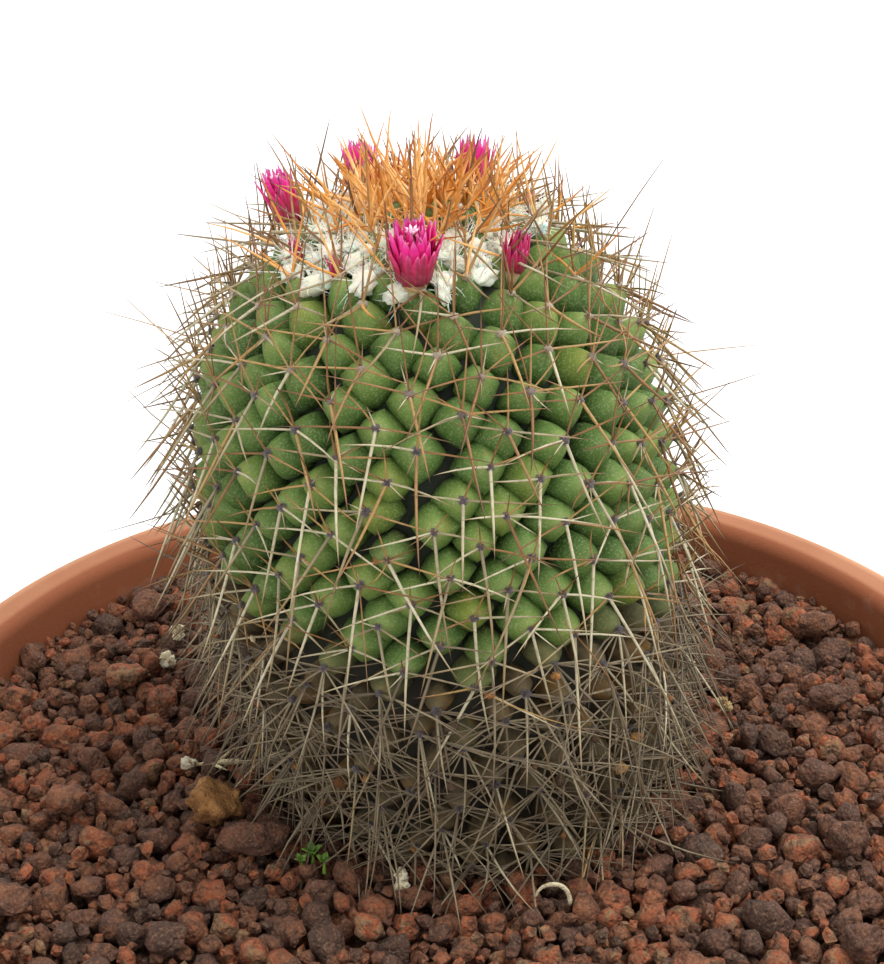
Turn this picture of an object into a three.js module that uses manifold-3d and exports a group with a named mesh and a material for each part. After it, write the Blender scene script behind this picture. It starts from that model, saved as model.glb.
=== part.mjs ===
// A potted round cactus: a leaning barrel stem covered in spiral rows of pyramid-shaped
// tubercles, each tipped by one long spine, with a tuft of young spines, a ring of flowers and
// white wool at its crown. It is rooted in potting mix under lava gravel, in a plain clay bowl.
// Millimetres, +Z up. The origin is the centre of the bowl's foot, and the front faces -Y.
import * as THREE from "three";
import { mergeVertices } from "three/addons/utils/BufferGeometryUtils.js";
import Module from "manifold-3d";

const wasm = await Module();
wasm.setup();

// ---- Driving dimensions -------------------------------------------------------------------
const BOWL_RIM_RADIUS = 137.5;
const BOWL_HEIGHT = 110;
const BOWL_FOOT_RADIUS = 86;
const BOWL_WALL = 9;
const BOWL_FLOOR = 10;
const LIP_HEIGHT = 17;
const LIP_PROUD = 3;
const FOOT_RECESS_RADIUS = 66;
const FOOT_RECESS_DEPTH = 3;
const DRAIN_HOLE_RADIUS = 11;

const GRAVEL_DROP = 11; // from the rim's top down to the gravel
const GRAVEL_DEPTH = 16;

const STEM_RADIUS = 54.5; // to the tubercles' tips, at the widest place
const STEM_HEIGHT = 138; // above the gravel
const STEM_WIDEST = 68; // height of the widest place above the gravel
const STEM_BASE_RADIUS = 45; // where it enters the gravel
const STEM_BURIED = 10; // how far the tubercles go on below the gravel
const ROOT_NECK = 24; // length of the bare root neck below them
const STEM_FOOT_X = 6; // where the stem stands, beside the bowl's centre
const STEM_LEAN = 11; // how far the crown leans to -X

const TUBERCLE_CELL = 98; // surface area that one full-grown tubercle takes, mm2
const YOUNG_CELL_SHARE = 0.22; // of that, at the crown's centre
const GROWING_LENGTH = 45; // distance from the centre at which a tubercle is full grown
const GROOVE_DEPTH = 8; // from the tips down to the grooves
const SPINE_LENGTH = 25;
const SPINE_BASE_SHARE = 0.08; // of a tubercle's slope, which the spine's base takes
const SPINE_LIFT = 0.45; // how far a spine stands off the stem, against 1 along it
const SPINE_LOWEST = 16; // height above the gravel that spines end at, over the loose stones

const FLOWER_LENGTH = 17; // with the part that stands between the tubercles
const FLOWER_RADIUS = 4.8;
const FLOWER_RING_RADIUS = 27;
const WOOL_RING_RADIUS = 22.5;
const WOOL_RADIUS = 3.4;
const TUFT_RADIUS = 11; // of the tuft's base
const TUFT_LENGTH = 18;
const TUFT_SPREAD = 0.4; // how far its outer spines lean out, against 1 up
const CROWN_DIMPLE = 6; // how far the crown's centre lies below the tips round it

const GAP = 0.35; // between neighbouring pieces
const ROUND = 48; // segments round the bowl

const GOLDEN_ANGLE = Math.PI * (3 - Math.sqrt(5));
const ROWS_RIGHT = 13; // the two families of spiral rows that the tubercles stand in
const ROWS_LEFT = 21;
const CLOSE_ROWS_FROM = 18; // radius outside which those rows are laid as pyramids

const GRAVEL_Z = BOWL_HEIGHT - GRAVEL_DROP;
const UP = new THREE.Vector3(0, 0, 1);

// ---- Colours ------------------------------------------------------------------------------
const clay = new THREE.MeshStandardMaterial({ color: 0xb5714c, roughness: 0.85 });
const soil = new THREE.MeshStandardMaterial({ color: 0x3a2a20, roughness: 1 });
const lava = new THREE.MeshStandardMaterial({ color: 0x6b3f33, roughness: 0.95 });
const flesh = new THREE.MeshStandardMaterial({ color: 0x4f7d35, roughness: 0.55 });
const youngSpine = new THREE.MeshStandardMaterial({ color: 0xc98432, roughness: 0.5 });
const petal = new THREE.MeshStandardMaterial({ color: 0xd81b87, roughness: 0.6 });
const wool = new THREE.MeshStandardMaterial({ color: 0xf0ead8, roughness: 1 });
const tanStone = new THREE.MeshStandardMaterial({ color: 0xa97848, roughness: 0.9 });
const dry = new THREE.MeshStandardMaterial({ color: 0xd9c596, roughness: 0.9 });
const leaf = new THREE.MeshStandardMaterial({ color: 0x6fae2e, roughness: 0.6 });

// ---- Helpers ------------------------------------------------------------------------------
// A repeatable random number from 0 to 1.
function randomFrom(seed) {
  let state = seed * 2654435761;
  return () => {
    state = (Math.imul(state ^ (state >>> 15), 2246822519) + 374761393) >>> 0;
    return ((state ^ (state >>> 13)) >>> 0) / 4294967296;
  };
}

function solidOf(geometry) {
  const bare = geometry.clone();
  for (const name of Object.keys(bare.attributes)) {
    if (name !== "position") bare.deleteAttribute(name);
  }
  const merged = mergeVertices(bare, 1e-4);
  return new wasm.Manifold(
    new wasm.Mesh({
      numProp: 3,
      vertProperties: merged.attributes.position.array,
      triVerts: new Uint32Array(merged.index.array),
    }),
  );
}

function geometryOf(solid) {
  const mesh = solid.getMesh();
  return new THREE.BufferGeometry()
    .setAttribute("position", new THREE.BufferAttribute(mesh.vertProperties, 3))
    .setIndex(new THREE.BufferAttribute(mesh.triVerts, 1));
}

function join(geometries) {
  return geometryOf(geometries.map(solidOf).reduce((all, one) => all.add(one)));
}

function cut(geometry, ...cutters) {
  return geometryOf(cutters.reduce((left, c) => left.subtract(solidOf(c)), solidOf(geometry)));
}

// A closed ring or disc turned about Z from an outline of [radius, height] pairs.
function turned(outline, segments = ROUND) {
  const profile = outline.map(([r, z]) => new THREE.Vector2(r, z));
  const onAxis = outline[0][0] === 0 && outline.at(-1)[0] === 0;
  if (!onAxis) profile.push(profile[0].clone());
  return new THREE.LatheGeometry(profile, segments).rotateX(Math.PI / 2);
}

// Places a geometry built along +Z so that it starts at a point and runs along a direction.
function aimed(geometry, start, direction) {
  const turn = new THREE.Quaternion().setFromUnitVectors(UP, direction.clone().normalize());
  return geometry.applyQuaternion(turn).translate(start.x, start.y, start.z);
}

const group = new THREE.Group();

function add(name, geometry, material) {
  const mesh = new THREE.Mesh(geometry, material);
  mesh.name = name;
  group.add(mesh);
  return mesh;
}

// ---- The stem's outline -------------------------------------------------------------------
// Half a rounded square above the widest place, and a slow taper to the base below it.
function stemOutline(clearance) {
  const CROWN_POWER = 2.5;
  const TAPER_POWER = 1.7;
  const STEPS = 240;
  const points = [];
  for (let i = 0; i <= STEPS; i++) {
    const angle = (Math.PI / 2) * (1 - i / STEPS);
    const across = Math.cos(angle) ** (2 / CROWN_POWER);
    const along = Math.sin(angle) ** (2 / CROWN_POWER);
    const z = STEM_WIDEST + (STEM_HEIGHT - STEM_WIDEST + clearance) * along;
    points.push([(STEM_RADIUS + clearance) * across, z]);
  }
  const low = STEM_WIDEST + STEM_BURIED;
  for (let i = 1; i <= STEPS; i++) {
    const z = STEM_WIDEST - (low * i) / STEPS;
    const share = ((STEM_WIDEST - z) / STEM_WIDEST) ** TAPER_POWER;
    points.push([STEM_RADIUS + clearance - (STEM_RADIUS - STEM_BASE_RADIUS) * share, z]);
  }
  return points;
}

// The stem's centre line leans to -X, most strongly near its foot, and is upright below that.
function stemCentreX(z) {
  const rest = 1 - Math.max(z, 0) / STEM_HEIGHT;
  return STEM_FOOT_X - STEM_LEAN * (1 - rest * rest);
}

// Walks down the outline, and notes at each step the tubercle number reached there and the
// size of a tubercle against a full-grown one.
function tubercleTrack() {
  const outline = stemOutline(0);
  const track = [{ n: 0, r: outline[0][0], z: outline[0][1], size: YOUNG_CELL_SHARE ** 0.5 }];
  let walked = 0;
  for (let i = 1; i < outline.length; i++) {
    const [r0, z0] = outline[i - 1];
    const [r1, z1] = outline[i];
    const step = Math.hypot(r1 - r0, z1 - z0);
    walked += step;
    const grown = Math.min(walked / GROWING_LENGTH, 1);
    const share = YOUNG_CELL_SHARE + (1 - YOUNG_CELL_SHARE) * grown * grown * (3 - 2 * grown);
    const n = track.at(-1).n + (Math.PI * (r0 + r1) * step) / (TUBERCLE_CELL * share);
    track.push({ n, r: r1, z: z1, size: Math.sqrt(share) });
  }
  return track;
}

const track = tubercleTrack();

// A tubercle number's place on the outline: radius, height, size and outward direction.
function placeOf(n) {
  const inside = Math.min(Math.max(n, 0), track.at(-1).n);
  let i = 1;
  while (track[i].n < inside) i++;
  const a = track[i - 1];
  const b = track[i];
  const t = (inside - a.n) / (b.n - a.n);
  const mix = (p, q) => p + (q - p) * t;
  const fall = Math.hypot(b.r - a.r, a.z - b.z);
  const out = { r: (a.z - b.z) / fall, z: (b.r - a.r) / fall };
  return { r: mix(a.r, b.r), z: mix(a.z, b.z), size: mix(a.size, b.size), out };
}

function pointOn(n, angle, depth) {
  const at = placeOf(n);
  const r = at.r - at.out.r * depth;
  const z = at.z - at.out.z * depth;
  return new THREE.Vector3(r * Math.cos(angle) + stemCentreX(z), r * Math.sin(angle), z);
}

// ---- The stem: a net of four-sided pyramids, closed at the crown and the root --------------
// Number n stands at -n golden angles. Its four groove corners are half-way to its neighbours
// in both families of rows, so every corner belongs to four tubercles. A clearance moves the
// whole net outwards.
function stemGeometry(clearance, withSpines) {
  const first = Math.ceil(track.find((p) => p.r > CLOSE_ROWS_FROM).n);
  const last = Math.floor(track.at(-1).n);
  const positions = [];
  const triangles = [];
  const corners = new Map();
  const put = (v) => positions.push(v.x, v.y, v.z) / 3 - 1;
  const wrapped = (rows) => {
    const turn = -rows * GOLDEN_ANGLE;
    return turn - 2 * Math.PI * Math.round(turn / (2 * Math.PI));
  };
  const right = wrapped(ROWS_RIGHT);
  const left = wrapped(ROWS_LEFT);
  const cornerAt = (n, sideRight, sideLeft) => {
    const key = n + (sideRight * ROWS_RIGHT + sideLeft * ROWS_LEFT) / 2;
    if (!corners.has(key)) {
      const angle = -n * GOLDEN_ANGLE + (sideRight * right + sideLeft * left) / 2;
      const depth = GROOVE_DEPTH * placeOf(key).size - clearance;
      corners.set(key, put(pointOn(key, angle, depth)));
    }
    return corners.get(key);
  };
  const at = (i) => new THREE.Vector3().fromArray(positions, 3 * i);

  for (let n = first; n <= last; n++) {
    const angle = -n * GOLDEN_ANGLE;
    const tip = pointOn(n, angle, -clearance);
    const ring = [
      cornerAt(n, -1, -1),
      cornerAt(n, -1, 1),
      cornerAt(n, 1, 1),
      cornerAt(n, 1, -1),
    ];
    const spine = withSpines ? spineTip(placeOf(n), tip, angle) : null;
    if (!spine) {
      const top = put(tip);
      ring.forEach((c, i) => triangles.push([c, ring[(i + 1) % 4], top]));
      continue;
    }
    const base = ring.map((c) => put(tip.clone().lerp(at(c), SPINE_BASE_SHARE)));
    const point = put(spine);
    for (let i = 0; i < 4; i++) {
      const j = (i + 1) % 4;
      triangles.push([ring[i], ring[j], base[j]], [ring[i], base[j], base[i]]);
      triangles.push([base[i], base[j], point]);
    }
  }

  // The net's two zigzag edges are closed by fans to the crown's centre and the root's end.
  const owner = new Map();
  for (const [a, b, c] of triangles) {
    for (const [p, q] of [[a, b], [b, c], [c, a]]) owner.set(p + "," + q, true);
  }
  const crownZ = STEM_HEIGHT - CROWN_DIMPLE + clearance;
  const crown = put(new THREE.Vector3(stemCentreX(STEM_HEIGHT), 0, crownZ));
  const rootZ = -STEM_BURIED - ROOT_NECK - clearance;
  const root = put(new THREE.Vector3(stemCentreX(0), 0, rootZ));
  for (const key of owner.keys()) {
    const [p, q] = key.split(",").map(Number);
    if (owner.has(q + "," + p)) continue;
    triangles.push([q, p, at(p).z > STEM_WIDEST ? crown : root]);
  }
  return new THREE.BufferGeometry()
    .setAttribute("position", new THREE.Float32BufferAttribute(positions, 3))
    .setIndex(triangles.flat());
}

// The end of a tubercle's long spine, or null where the crown's tuft or the gravel takes its
// place. It points down the stem and a little outwards, and stops above the loose stones.
function spineTip(place, tip, angle) {
  const CROWN_CLEAR = FLOWER_RING_RADIUS + 2 * FLOWER_RADIUS;
  if (place.z > STEM_WIDEST && place.r < CROWN_CLEAR) return null;
  const lift = SPINE_LIFT;
  const radial = place.out.r * lift - place.out.z;
  const upward = place.out.z * lift - place.out.r;
  const direction = new THREE.Vector3(
    radial * Math.cos(angle),
    radial * Math.sin(angle),
    upward,
  ).normalize();
  const room = (tip.z - SPINE_LOWEST) / Math.max(-direction.z, 0.01);
  const length = Math.min(SPINE_LENGTH, room);
  if (length < SPINE_LENGTH / 3) return null;
  return tip.clone().addScaledVector(direction, length);
}

const stem = stemGeometry(0, true);
const stemRoom = stemGeometry(2 * GAP, false);
add("stem", stem, flesh).position.z = GRAVEL_Z;

// A smooth body round the whole stem, which gravel and potting mix are cut away from.
function stemSleeve() {
  const SEGMENTS = 28;
  const EVERY = 40;
  const outline = stemOutline(2 * GAP).filter((_, i) => i % EVERY === 0);
  outline.push([0, -STEM_BURIED - ROOT_NECK - 3 * GAP]);
  const sleeve = turned(outline.reverse(), SEGMENTS);
  const spot = sleeve.attributes.position;
  for (let i = 0; i < spot.count; i++) {
    spot.setX(i, spot.getX(i) + stemCentreX(spot.getZ(i)));
  }
  return sleeve.translate(0, 0, GRAVEL_Z);
}

// ---- Bowl, potting mix and gravel ---------------------------------------------------------
function bowlOuterRadius(z) {
  const wallTop = BOWL_RIM_RADIUS - LIP_PROUD;
  const rise = Math.min(z / BOWL_HEIGHT, 1);
  return BOWL_FOOT_RADIUS + (wallTop - BOWL_FOOT_RADIUS) * Math.sin((rise * Math.PI) / 2) ** 0.9;
}

function bowlInnerRadius(z) {
  return bowlOuterRadius(z) - BOWL_WALL;
}

function levels(from, to, steps) {
  return Array.from({ length: steps + 1 }, (_, i) => from + ((to - from) * i) / steps);
}

const WALL_STEPS = 6;
const lipFoot = BOWL_HEIGHT - LIP_HEIGHT;
const lipRound = LIP_PROUD;
const outside = levels(0, lipFoot - lipRound, WALL_STEPS).map((z) => [bowlOuterRadius(z), z]);
const inside = levels(BOWL_HEIGHT - lipRound, BOWL_FLOOR, WALL_STEPS).map((z) => [
  bowlInnerRadius(z),
  z,
]);
const bowl = turned([
  [FOOT_RECESS_RADIUS, 0],
  ...outside,
  [BOWL_RIM_RADIUS, lipFoot],
  [BOWL_RIM_RADIUS, BOWL_HEIGHT - lipRound],
  [BOWL_RIM_RADIUS - lipRound, BOWL_HEIGHT],
  [bowlInnerRadius(BOWL_HEIGHT) + lipRound, BOWL_HEIGHT],
  ...inside,
  [DRAIN_HOLE_RADIUS, BOWL_FLOOR],
  [DRAIN_HOLE_RADIUS, FOOT_RECESS_DEPTH],
  [FOOT_RECESS_RADIUS - FOOT_RECESS_DEPTH, FOOT_RECESS_DEPTH],
]);
add("clay_bowl", bowl, clay);

const mixTop = GRAVEL_Z - GRAVEL_DEPTH;
const mixSide = levels(BOWL_FLOOR + GAP, mixTop, WALL_STEPS - 2).map((z) => [
  bowlInnerRadius(z) - GAP,
  z,
]);
const sleeve = stemSleeve();
add("potting_mix", cut(turned([[0, BOWL_FLOOR + GAP], ...mixSide, [0, mixTop]]), sleeve), soil);

const bedFoot = mixTop + GAP;
const bedSide = levels(bedFoot, GRAVEL_Z, 2).map((z) => [bowlInnerRadius(z) - GAP, z]);
add("gravel_bed", cut(turned([[0, bedFoot], ...bedSide, [0, GRAVEL_Z]]), sleeve), lava);

// ---- Crown: a tuft of young spines, flowers, and wool between the tubercles -----------------
const crownX = stemCentreX(STEM_HEIGHT);

// The height of the tubercles' tips at a distance from the crown's centre.
function crownHeight(radius) {
  return track.find((place) => place.r >= radius).z;
}

function crownPoint(radius, degrees, above) {
  const angle = THREE.MathUtils.degToRad(degrees);
  const z = crownHeight(radius) + above;
  return new THREE.Vector3(crownX + radius * Math.cos(angle), radius * Math.sin(angle), z);
}

// The tuft stands on a woolly plug that fills the crown's dimple.
function tuftGeometry() {
  const SPINES = 44;
  const SPINE_RADIUS = 0.8;
  const PLUG_ABOVE = 1.5;
  const plugTop = STEM_HEIGHT + PLUG_ABOVE;
  const plugFoot = STEM_HEIGHT - CROWN_DIMPLE;
  const parts = [
    turned([[0, plugFoot], [TUFT_RADIUS, plugFoot], [TUFT_RADIUS, plugTop], [0, plugTop]], 20)
      .translate(crownX, 0, 0),
  ];
  for (let i = 0; i < SPINES; i++) {
    const share = Math.sqrt((i + 0.5) / SPINES);
    const angle = i * GOLDEN_ANGLE;
    const out = new THREE.Vector3(Math.cos(angle), Math.sin(angle), 0);
    const start = out.clone().multiplyScalar(share * (TUFT_RADIUS - 1.5 * SPINE_RADIUS));
    start.x += crownX;
    start.z = plugTop - SPINE_RADIUS;
    const length = TUFT_LENGTH * (1 - 0.25 * share * share);
    const spine = new THREE.ConeGeometry(SPINE_RADIUS, length, 4)
      .rotateX(Math.PI / 2)
      .translate(0, 0, length / 2);
    parts.push(aimed(spine, start, out.multiplyScalar(TUFT_SPREAD * share).add(UP)));
  }
  return cut(join(parts), stemRoom);
}

add("crown_spine_tuft", tuftGeometry(), youngSpine).position.z = GRAVEL_Z;

// A flower is a cup with two rings of narrow petals, drawn along +Z. How open it is, from 0 to
// 1, sets how far the petals lean out.
function flowerGeometry(length, radius, petals, open) {
  const cup = turned(
    [
      [0, 0],
      [radius * 0.45, 0],
      [radius * 0.8, length * 0.35],
      [radius * 0.75, length * 0.55],
      [0, length * 0.6],
    ],
    10,
  );
  const parts = [cup];
  for (let i = 0; i < petals; i++) {
    const angle = (i * 2 * Math.PI) / petals;
    const inner = i % 2;
    const out = new THREE.Vector3(Math.cos(angle), Math.sin(angle), 0);
    const start = out.clone().multiplyScalar(radius * (inner ? 0.4 : 0.6));
    start.z = length * 0.3;
    const reach = length * (inner ? 0.7 : 0.6);
    const blade = new THREE.ConeGeometry(radius * 0.34, reach, 4)
      .rotateX(Math.PI / 2)
      .translate(0, 0, reach / 2);
    parts.push(aimed(blade, start, out.multiplyScalar(open * (inner ? 0.3 : 0.5)).add(UP)));
  }
  return join(parts);
}

// Each flower's bearing, its size against a full one, and how open it is.
const FLOWERS = {
  flower_front: [-93, 1, 0.55],
  flower_left: [166, 0.95, 0.4],
  flower_back_left: [116, 0.95, 0.4],
  flower_back_right: [68, 0.95, 0.4],
  flower_right: [-49, 0.7, 0.15],
  bud_left: [-158, 0.45, 0],
  bud_front_left: [-128, 0.45, 0],
  bud_back_right: [38, 0.5, 0],
};
const FLOWER_SEAT = -5; // the cup starts this far below the tubercles' tips
const FLOWER_TILT = 0.3;

function flowerPose(degrees) {
  const angle = THREE.MathUtils.degToRad(degrees);
  const out = new THREE.Vector3(Math.cos(angle), Math.sin(angle), 0);
  return [crownPoint(FLOWER_RING_RADIUS, degrees, FLOWER_SEAT), out.multiplyScalar(FLOWER_TILT).add(UP)];
}

for (const [name, [degrees, size, open]] of Object.entries(FLOWERS)) {
  const petals = size > 0.6 ? 12 : 6;
  const flower = flowerGeometry(FLOWER_LENGTH * size, FLOWER_RADIUS * size, petals, open);
  const seated = cut(aimed(flower, ...flowerPose(degrees)), stemRoom);
  add(name, seated, petal).position.z = GRAVEL_Z;
}

// A lumpy ball, squashed to the given half-sizes.
function lump(halfSizes, seed, detail, roughness) {
  const random = randomFrom(seed);
  const ball = mergeVertices(stripped(new THREE.IcosahedronGeometry(1, detail)), 1e-4);
  const spot = ball.attributes.position;
  for (let i = 0; i < spot.count; i++) {
    const swell = 1 + roughness * (random() - 0.5);
    spot.setXYZ(i, spot.getX(i) * swell, spot.getY(i) * swell, spot.getZ(i) * swell);
  }
  return ball.scale(...halfSizes);
}

function stripped(geometry) {
  geometry.deleteAttribute("normal");
  geometry.deleteAttribute("uv");
  return geometry;
}

const WOOL_TUFTS = 12;
const woolCutters = Object.values(FLOWERS).map(([degrees, size]) => {
  const reach = FLOWER_LENGTH * size + 2 * GAP;
  const radius = FLOWER_RADIUS * size + 2 * GAP;
  const room = turned([[0, 0], [radius, 0], [1.4 * radius, reach], [0, reach]], 12);
  return aimed(room, ...flowerPose(degrees));
});
for (let i = 0; i < WOOL_TUFTS; i++) {
  const degrees = (i + 0.5) * (360 / WOOL_TUFTS);
  const tuft = lump([WOOL_RADIUS, WOOL_RADIUS, WOOL_RADIUS], 40 + i, 1, 0.25);
  const at = crownPoint(WOOL_RING_RADIUS, degrees, WOOL_RADIUS * 0.35);
  const seated = cut(tuft.translate(at.x, at.y, at.z), stemRoom, ...woolCutters);
  add("wool_tuft_" + String(i + 1).padStart(2, "0"), seated, wool).position.z = GRAVEL_Z;
}

// ---- Loose things on the gravel -----------------------------------------------------------
const LOOSE_CLEARANCE = 8; // from a loose thing's centre to the stem's foot or the bowl's wall
const STONE_ROUGHNESS = 0.3;
const farRadius = bowlInnerRadius(GRAVEL_Z) - LOOSE_CLEARANCE;

// Lays a geometry on the gravel at a bearing, and at a share of the way from the stem to the
// bowl's wall.
function lay(name, geometry, material, degrees, share) {
  geometry.computeBoundingBox();
  const angle = THREE.MathUtils.degToRad(degrees);
  const nearRadius = STEM_BASE_RADIUS + STEM_FOOT_X * Math.cos(angle) + LOOSE_CLEARANCE;
  const distance = nearRadius + share * (farRadius - nearRadius);
  const mesh = add(name, geometry, material);
  mesh.position.set(
    distance * Math.cos(angle),
    distance * Math.sin(angle),
    GRAVEL_Z + GAP - geometry.boundingBox.min.z,
  );
  return mesh;
}

function stone(halfSizes, seed) {
  return lump(halfSizes, seed, 1, STONE_ROUGHNESS);
}

lay("tan_stone", stone([5.8, 5.2, 6.3], 3), tanStone, -155, 0.163);
lay("long_lava_stone", stone([7.6, 4.2, 3.8], 5), lava, -142.6, 0.137);
lay("pale_pebble_1", stone([2.6, 2.4, 2.2], 6), dry, 140.8, 0.667);
lay("pale_pebble_2", stone([2, 1.8, 1.5], 7), dry, 148, 0.576);
lay("pale_pebble_3", stone([2.2, 1.9, 2.2], 8), dry, -104, 0);

// A dry, forked flower stalk with the husk of the flower on its end.
const stalk = new THREE.CylinderGeometry(0.8, 0.9, 12, 6).rotateZ(Math.PI / 2);
const husk = stone([2.2, 1.5, 1.5], 9).translate(-6.4, 0, 0);
lay("dry_flower_stalk", join([stalk, husk]), dry, -178, 0.143);

// A pale root end that curls out of the gravel.
class Curl extends THREE.Curve {
  getPoint(t, target = new THREE.Vector3()) {
    const turn = Math.PI * (0.1 + 0.9 * t);
    return target.set(4 * Math.cos(turn), 0, 5.5 * Math.sin(turn));
  }
}
const curlSection = new THREE.Shape().absarc(0, 0, 0.6, 0, 2 * Math.PI);
const curl = new THREE.ExtrudeGeometry(curlSection, {
  extrudePath: new Curl(),
  steps: 10,
  curveSegments: 3,
});
lay("root_curl", curl, dry, -70, 0.068);

lay("yellow_husk", stone([1.8, 1.6, 1.8], 11), dry, 16.3, 0.187);

// A seedling: a short stalk with four small leaves.
const seedlingParts = [new THREE.CylinderGeometry(0.5, 0.6, 5, 6).rotateX(Math.PI / 2)];
for (let i = 0; i < 4; i++) {
  const blade = lump([1.9, 1.1, 0.5], 20 + i, 1, 0.1).translate(1.7, 0, 2.3);
  seedlingParts.push(blade.rotateZ((i * Math.PI) / 2));
}
lay("seedling", join(seedlingParts), leaf, -128, 0.03);

// The largest lava stones, loose on the bed, in two staggered rings further out.
const LAVA_STONES = 20;
const LAVA_RINGS = [0.62, 0.9];
const FIRST_LAVA_STONE = 12; // its bearing, clear of the pebbles
for (let i = 0; i < LAVA_STONES; i++) {
  const random = randomFrom(100 + i);
  const size = 3.4 + 1.4 * random();
  const shape = stone([size * 1.2, size, size * 0.8], 60 + i).rotateZ(random() * Math.PI);
  const name = "lava_stone_" + String(i + 1).padStart(2, "0");
  lay(name, shape, lava, FIRST_LAVA_STONE + (i * 360) / LAVA_STONES, LAVA_RINGS[i % 2]);
}

export default group;
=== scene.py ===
# %% [markdown]
# # A potted round cactus
# The plant is a leaning barrel covered in spiral rows of tubercles. Each tubercle ends in an
# areole, a small fuzzy cushion that its spines grow from. Golden young spines, white wool and
# a ring of magenta flowers crown it. It stands in red lava gravel, in a clay bowl. The packed
# CAD model is loaded first, because every piece goes where its solids are. All lengths in this
# script are metres, and MM turns the sizes that a gardener would use into metres.

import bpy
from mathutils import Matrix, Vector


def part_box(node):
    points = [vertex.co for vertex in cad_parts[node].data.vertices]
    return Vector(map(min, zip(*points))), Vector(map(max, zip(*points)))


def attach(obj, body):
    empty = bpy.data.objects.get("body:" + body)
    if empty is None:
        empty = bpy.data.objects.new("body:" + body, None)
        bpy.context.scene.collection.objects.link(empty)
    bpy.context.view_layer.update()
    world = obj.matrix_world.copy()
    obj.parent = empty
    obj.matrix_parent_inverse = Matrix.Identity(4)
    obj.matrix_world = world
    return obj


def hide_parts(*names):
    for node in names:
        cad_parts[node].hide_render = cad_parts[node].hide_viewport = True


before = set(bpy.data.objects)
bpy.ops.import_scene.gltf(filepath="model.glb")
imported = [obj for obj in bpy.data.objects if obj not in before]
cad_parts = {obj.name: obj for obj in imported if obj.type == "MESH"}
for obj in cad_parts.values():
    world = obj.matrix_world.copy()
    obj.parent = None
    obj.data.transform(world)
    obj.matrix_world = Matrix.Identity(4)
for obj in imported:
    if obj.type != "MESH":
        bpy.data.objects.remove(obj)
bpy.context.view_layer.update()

import math

import bmesh
import bpy
import numpy as np
from mathutils import Matrix, Vector, noise

MM = 0.001
UP = Vector((0, 0, 1))
GOLDEN_ANGLE = math.pi * (3 - math.sqrt(5))

# %% [markdown]
# The two levels that everything else is set by are the top of the gravel and the top of the
# bowl's rim. Both are read from the CAD solids, so a new pack moves the looks with it.

# %% Levels from the frame
GRAVEL_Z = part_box("gravel_bed")[1].z
RIM_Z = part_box("clay_bowl")[1].z
RIM_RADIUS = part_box("clay_bowl")[1].x
print(f"gravel at {GRAVEL_Z / MM:.1f} mm, rim at {RIM_Z / MM:.1f} mm, {RIM_RADIUS / MM:.1f} mm out")

# %% [markdown]
# Materials are node trees, and helpers keep them short. `put` adds a node and wires its inputs,
# `linear` turns a screen colour, written as six hex digits, into the linear colour that the
# shader works in, and `tinted` lays a colour over another where a mask says so. The rest wrap
# the few nodes that every material here uses.

# %% Helpers for node trees
def linear(code):
    values = [int(code[i : i + 2], 16) / 255 for i in (0, 2, 4)]
    return [v / 12.92 if v <= 0.04045 else ((v + 0.055) / 1.055) ** 2.4 for v in values] + [1.0]


def put(tree, kind, inputs=None, **settings):
    made = tree.nodes.new("ShaderNode" + kind)
    for name, value in settings.items():
        setattr(made, name, value)
    for name, value in (inputs or {}).items():
        if isinstance(value, bpy.types.NodeSocket):
            tree.links.new(value, made.inputs[name])
        else:
            made.inputs[name].default_value = value
    return made


def blend_colours(tree, share, first, second, mode="MIX"):
    made = put(tree, "Mix", data_type="RGBA", blend_type=mode)
    for index, value in ((0, share), (6, first), (7, second)):
        if isinstance(value, bpy.types.NodeSocket):
            tree.links.new(value, made.inputs[index])
        else:
            made.inputs[index].default_value = value
    return made.outputs[2]


def ramp(tree, share, *stops):
    made = put(tree, "ValToRGB", {"Fac": share})
    elements = made.color_ramp.elements
    while len(elements) < len(stops):
        elements.new(0.5)
    for element, (place, code) in zip(elements, stops):
        element.position = place
        element.color = linear(code)
    return made.outputs["Color"]


def times(tree, first, second):
    return put(tree, "Math", {0: first, 1: second}, operation="MULTIPLY").outputs[0]


def tinted(tree, body, mask, code, strength=None):
    """The body's colour, changed to a hex colour as far as the mask says."""
    share = mask if strength is None else times(tree, mask, strength)
    return blend_colours(tree, share, body, linear(code))


def spread(tree, value, low, high, to_low=0.0, to_high=1.0):
    made = put(tree, "MapRange", {"Value": value, "From Min": low, "From Max": high,
                                  "To Min": to_low, "To Max": to_high})
    return made.outputs["Result"]


def on_object(tree):
    return put(tree, "TexCoord").outputs["Object"]


def height_on_object(tree):
    return put(tree, "SeparateXYZ", {0: on_object(tree)}).outputs["Z"]


def radius_from_axis(tree):
    place = put(tree, "SeparateXYZ", {0: on_object(tree)}).outputs
    flat = put(tree, "CombineXYZ", {0: place["X"], 1: place["Y"]})
    return put(tree, "VectorMath", {0: flat.outputs[0]}, operation="LENGTH").outputs["Value"]


def attribute(tree, name):
    return put(tree, "Attribute", attribute_name=name).outputs["Fac"]


def new_material(name, **fixed):
    made = bpy.data.materials.new(name)
    made.use_nodes = True
    shader = made.node_tree.nodes["Principled BSDF"]
    for socket, value in fixed.items():
        shader.inputs[socket.replace("_", " ")].default_value = value
    return made, made.node_tree, shader


def bump(tree, shader, height, distance, strength=1.0):
    made = put(tree, "Bump", {"Height": height, "Distance": distance, "Strength": strength})
    tree.links.new(made.outputs["Normal"], shader.inputs["Normal"])


def paint(tree, shader, body):
    tree.links.new(body, shader.inputs["Base Color"])

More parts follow.
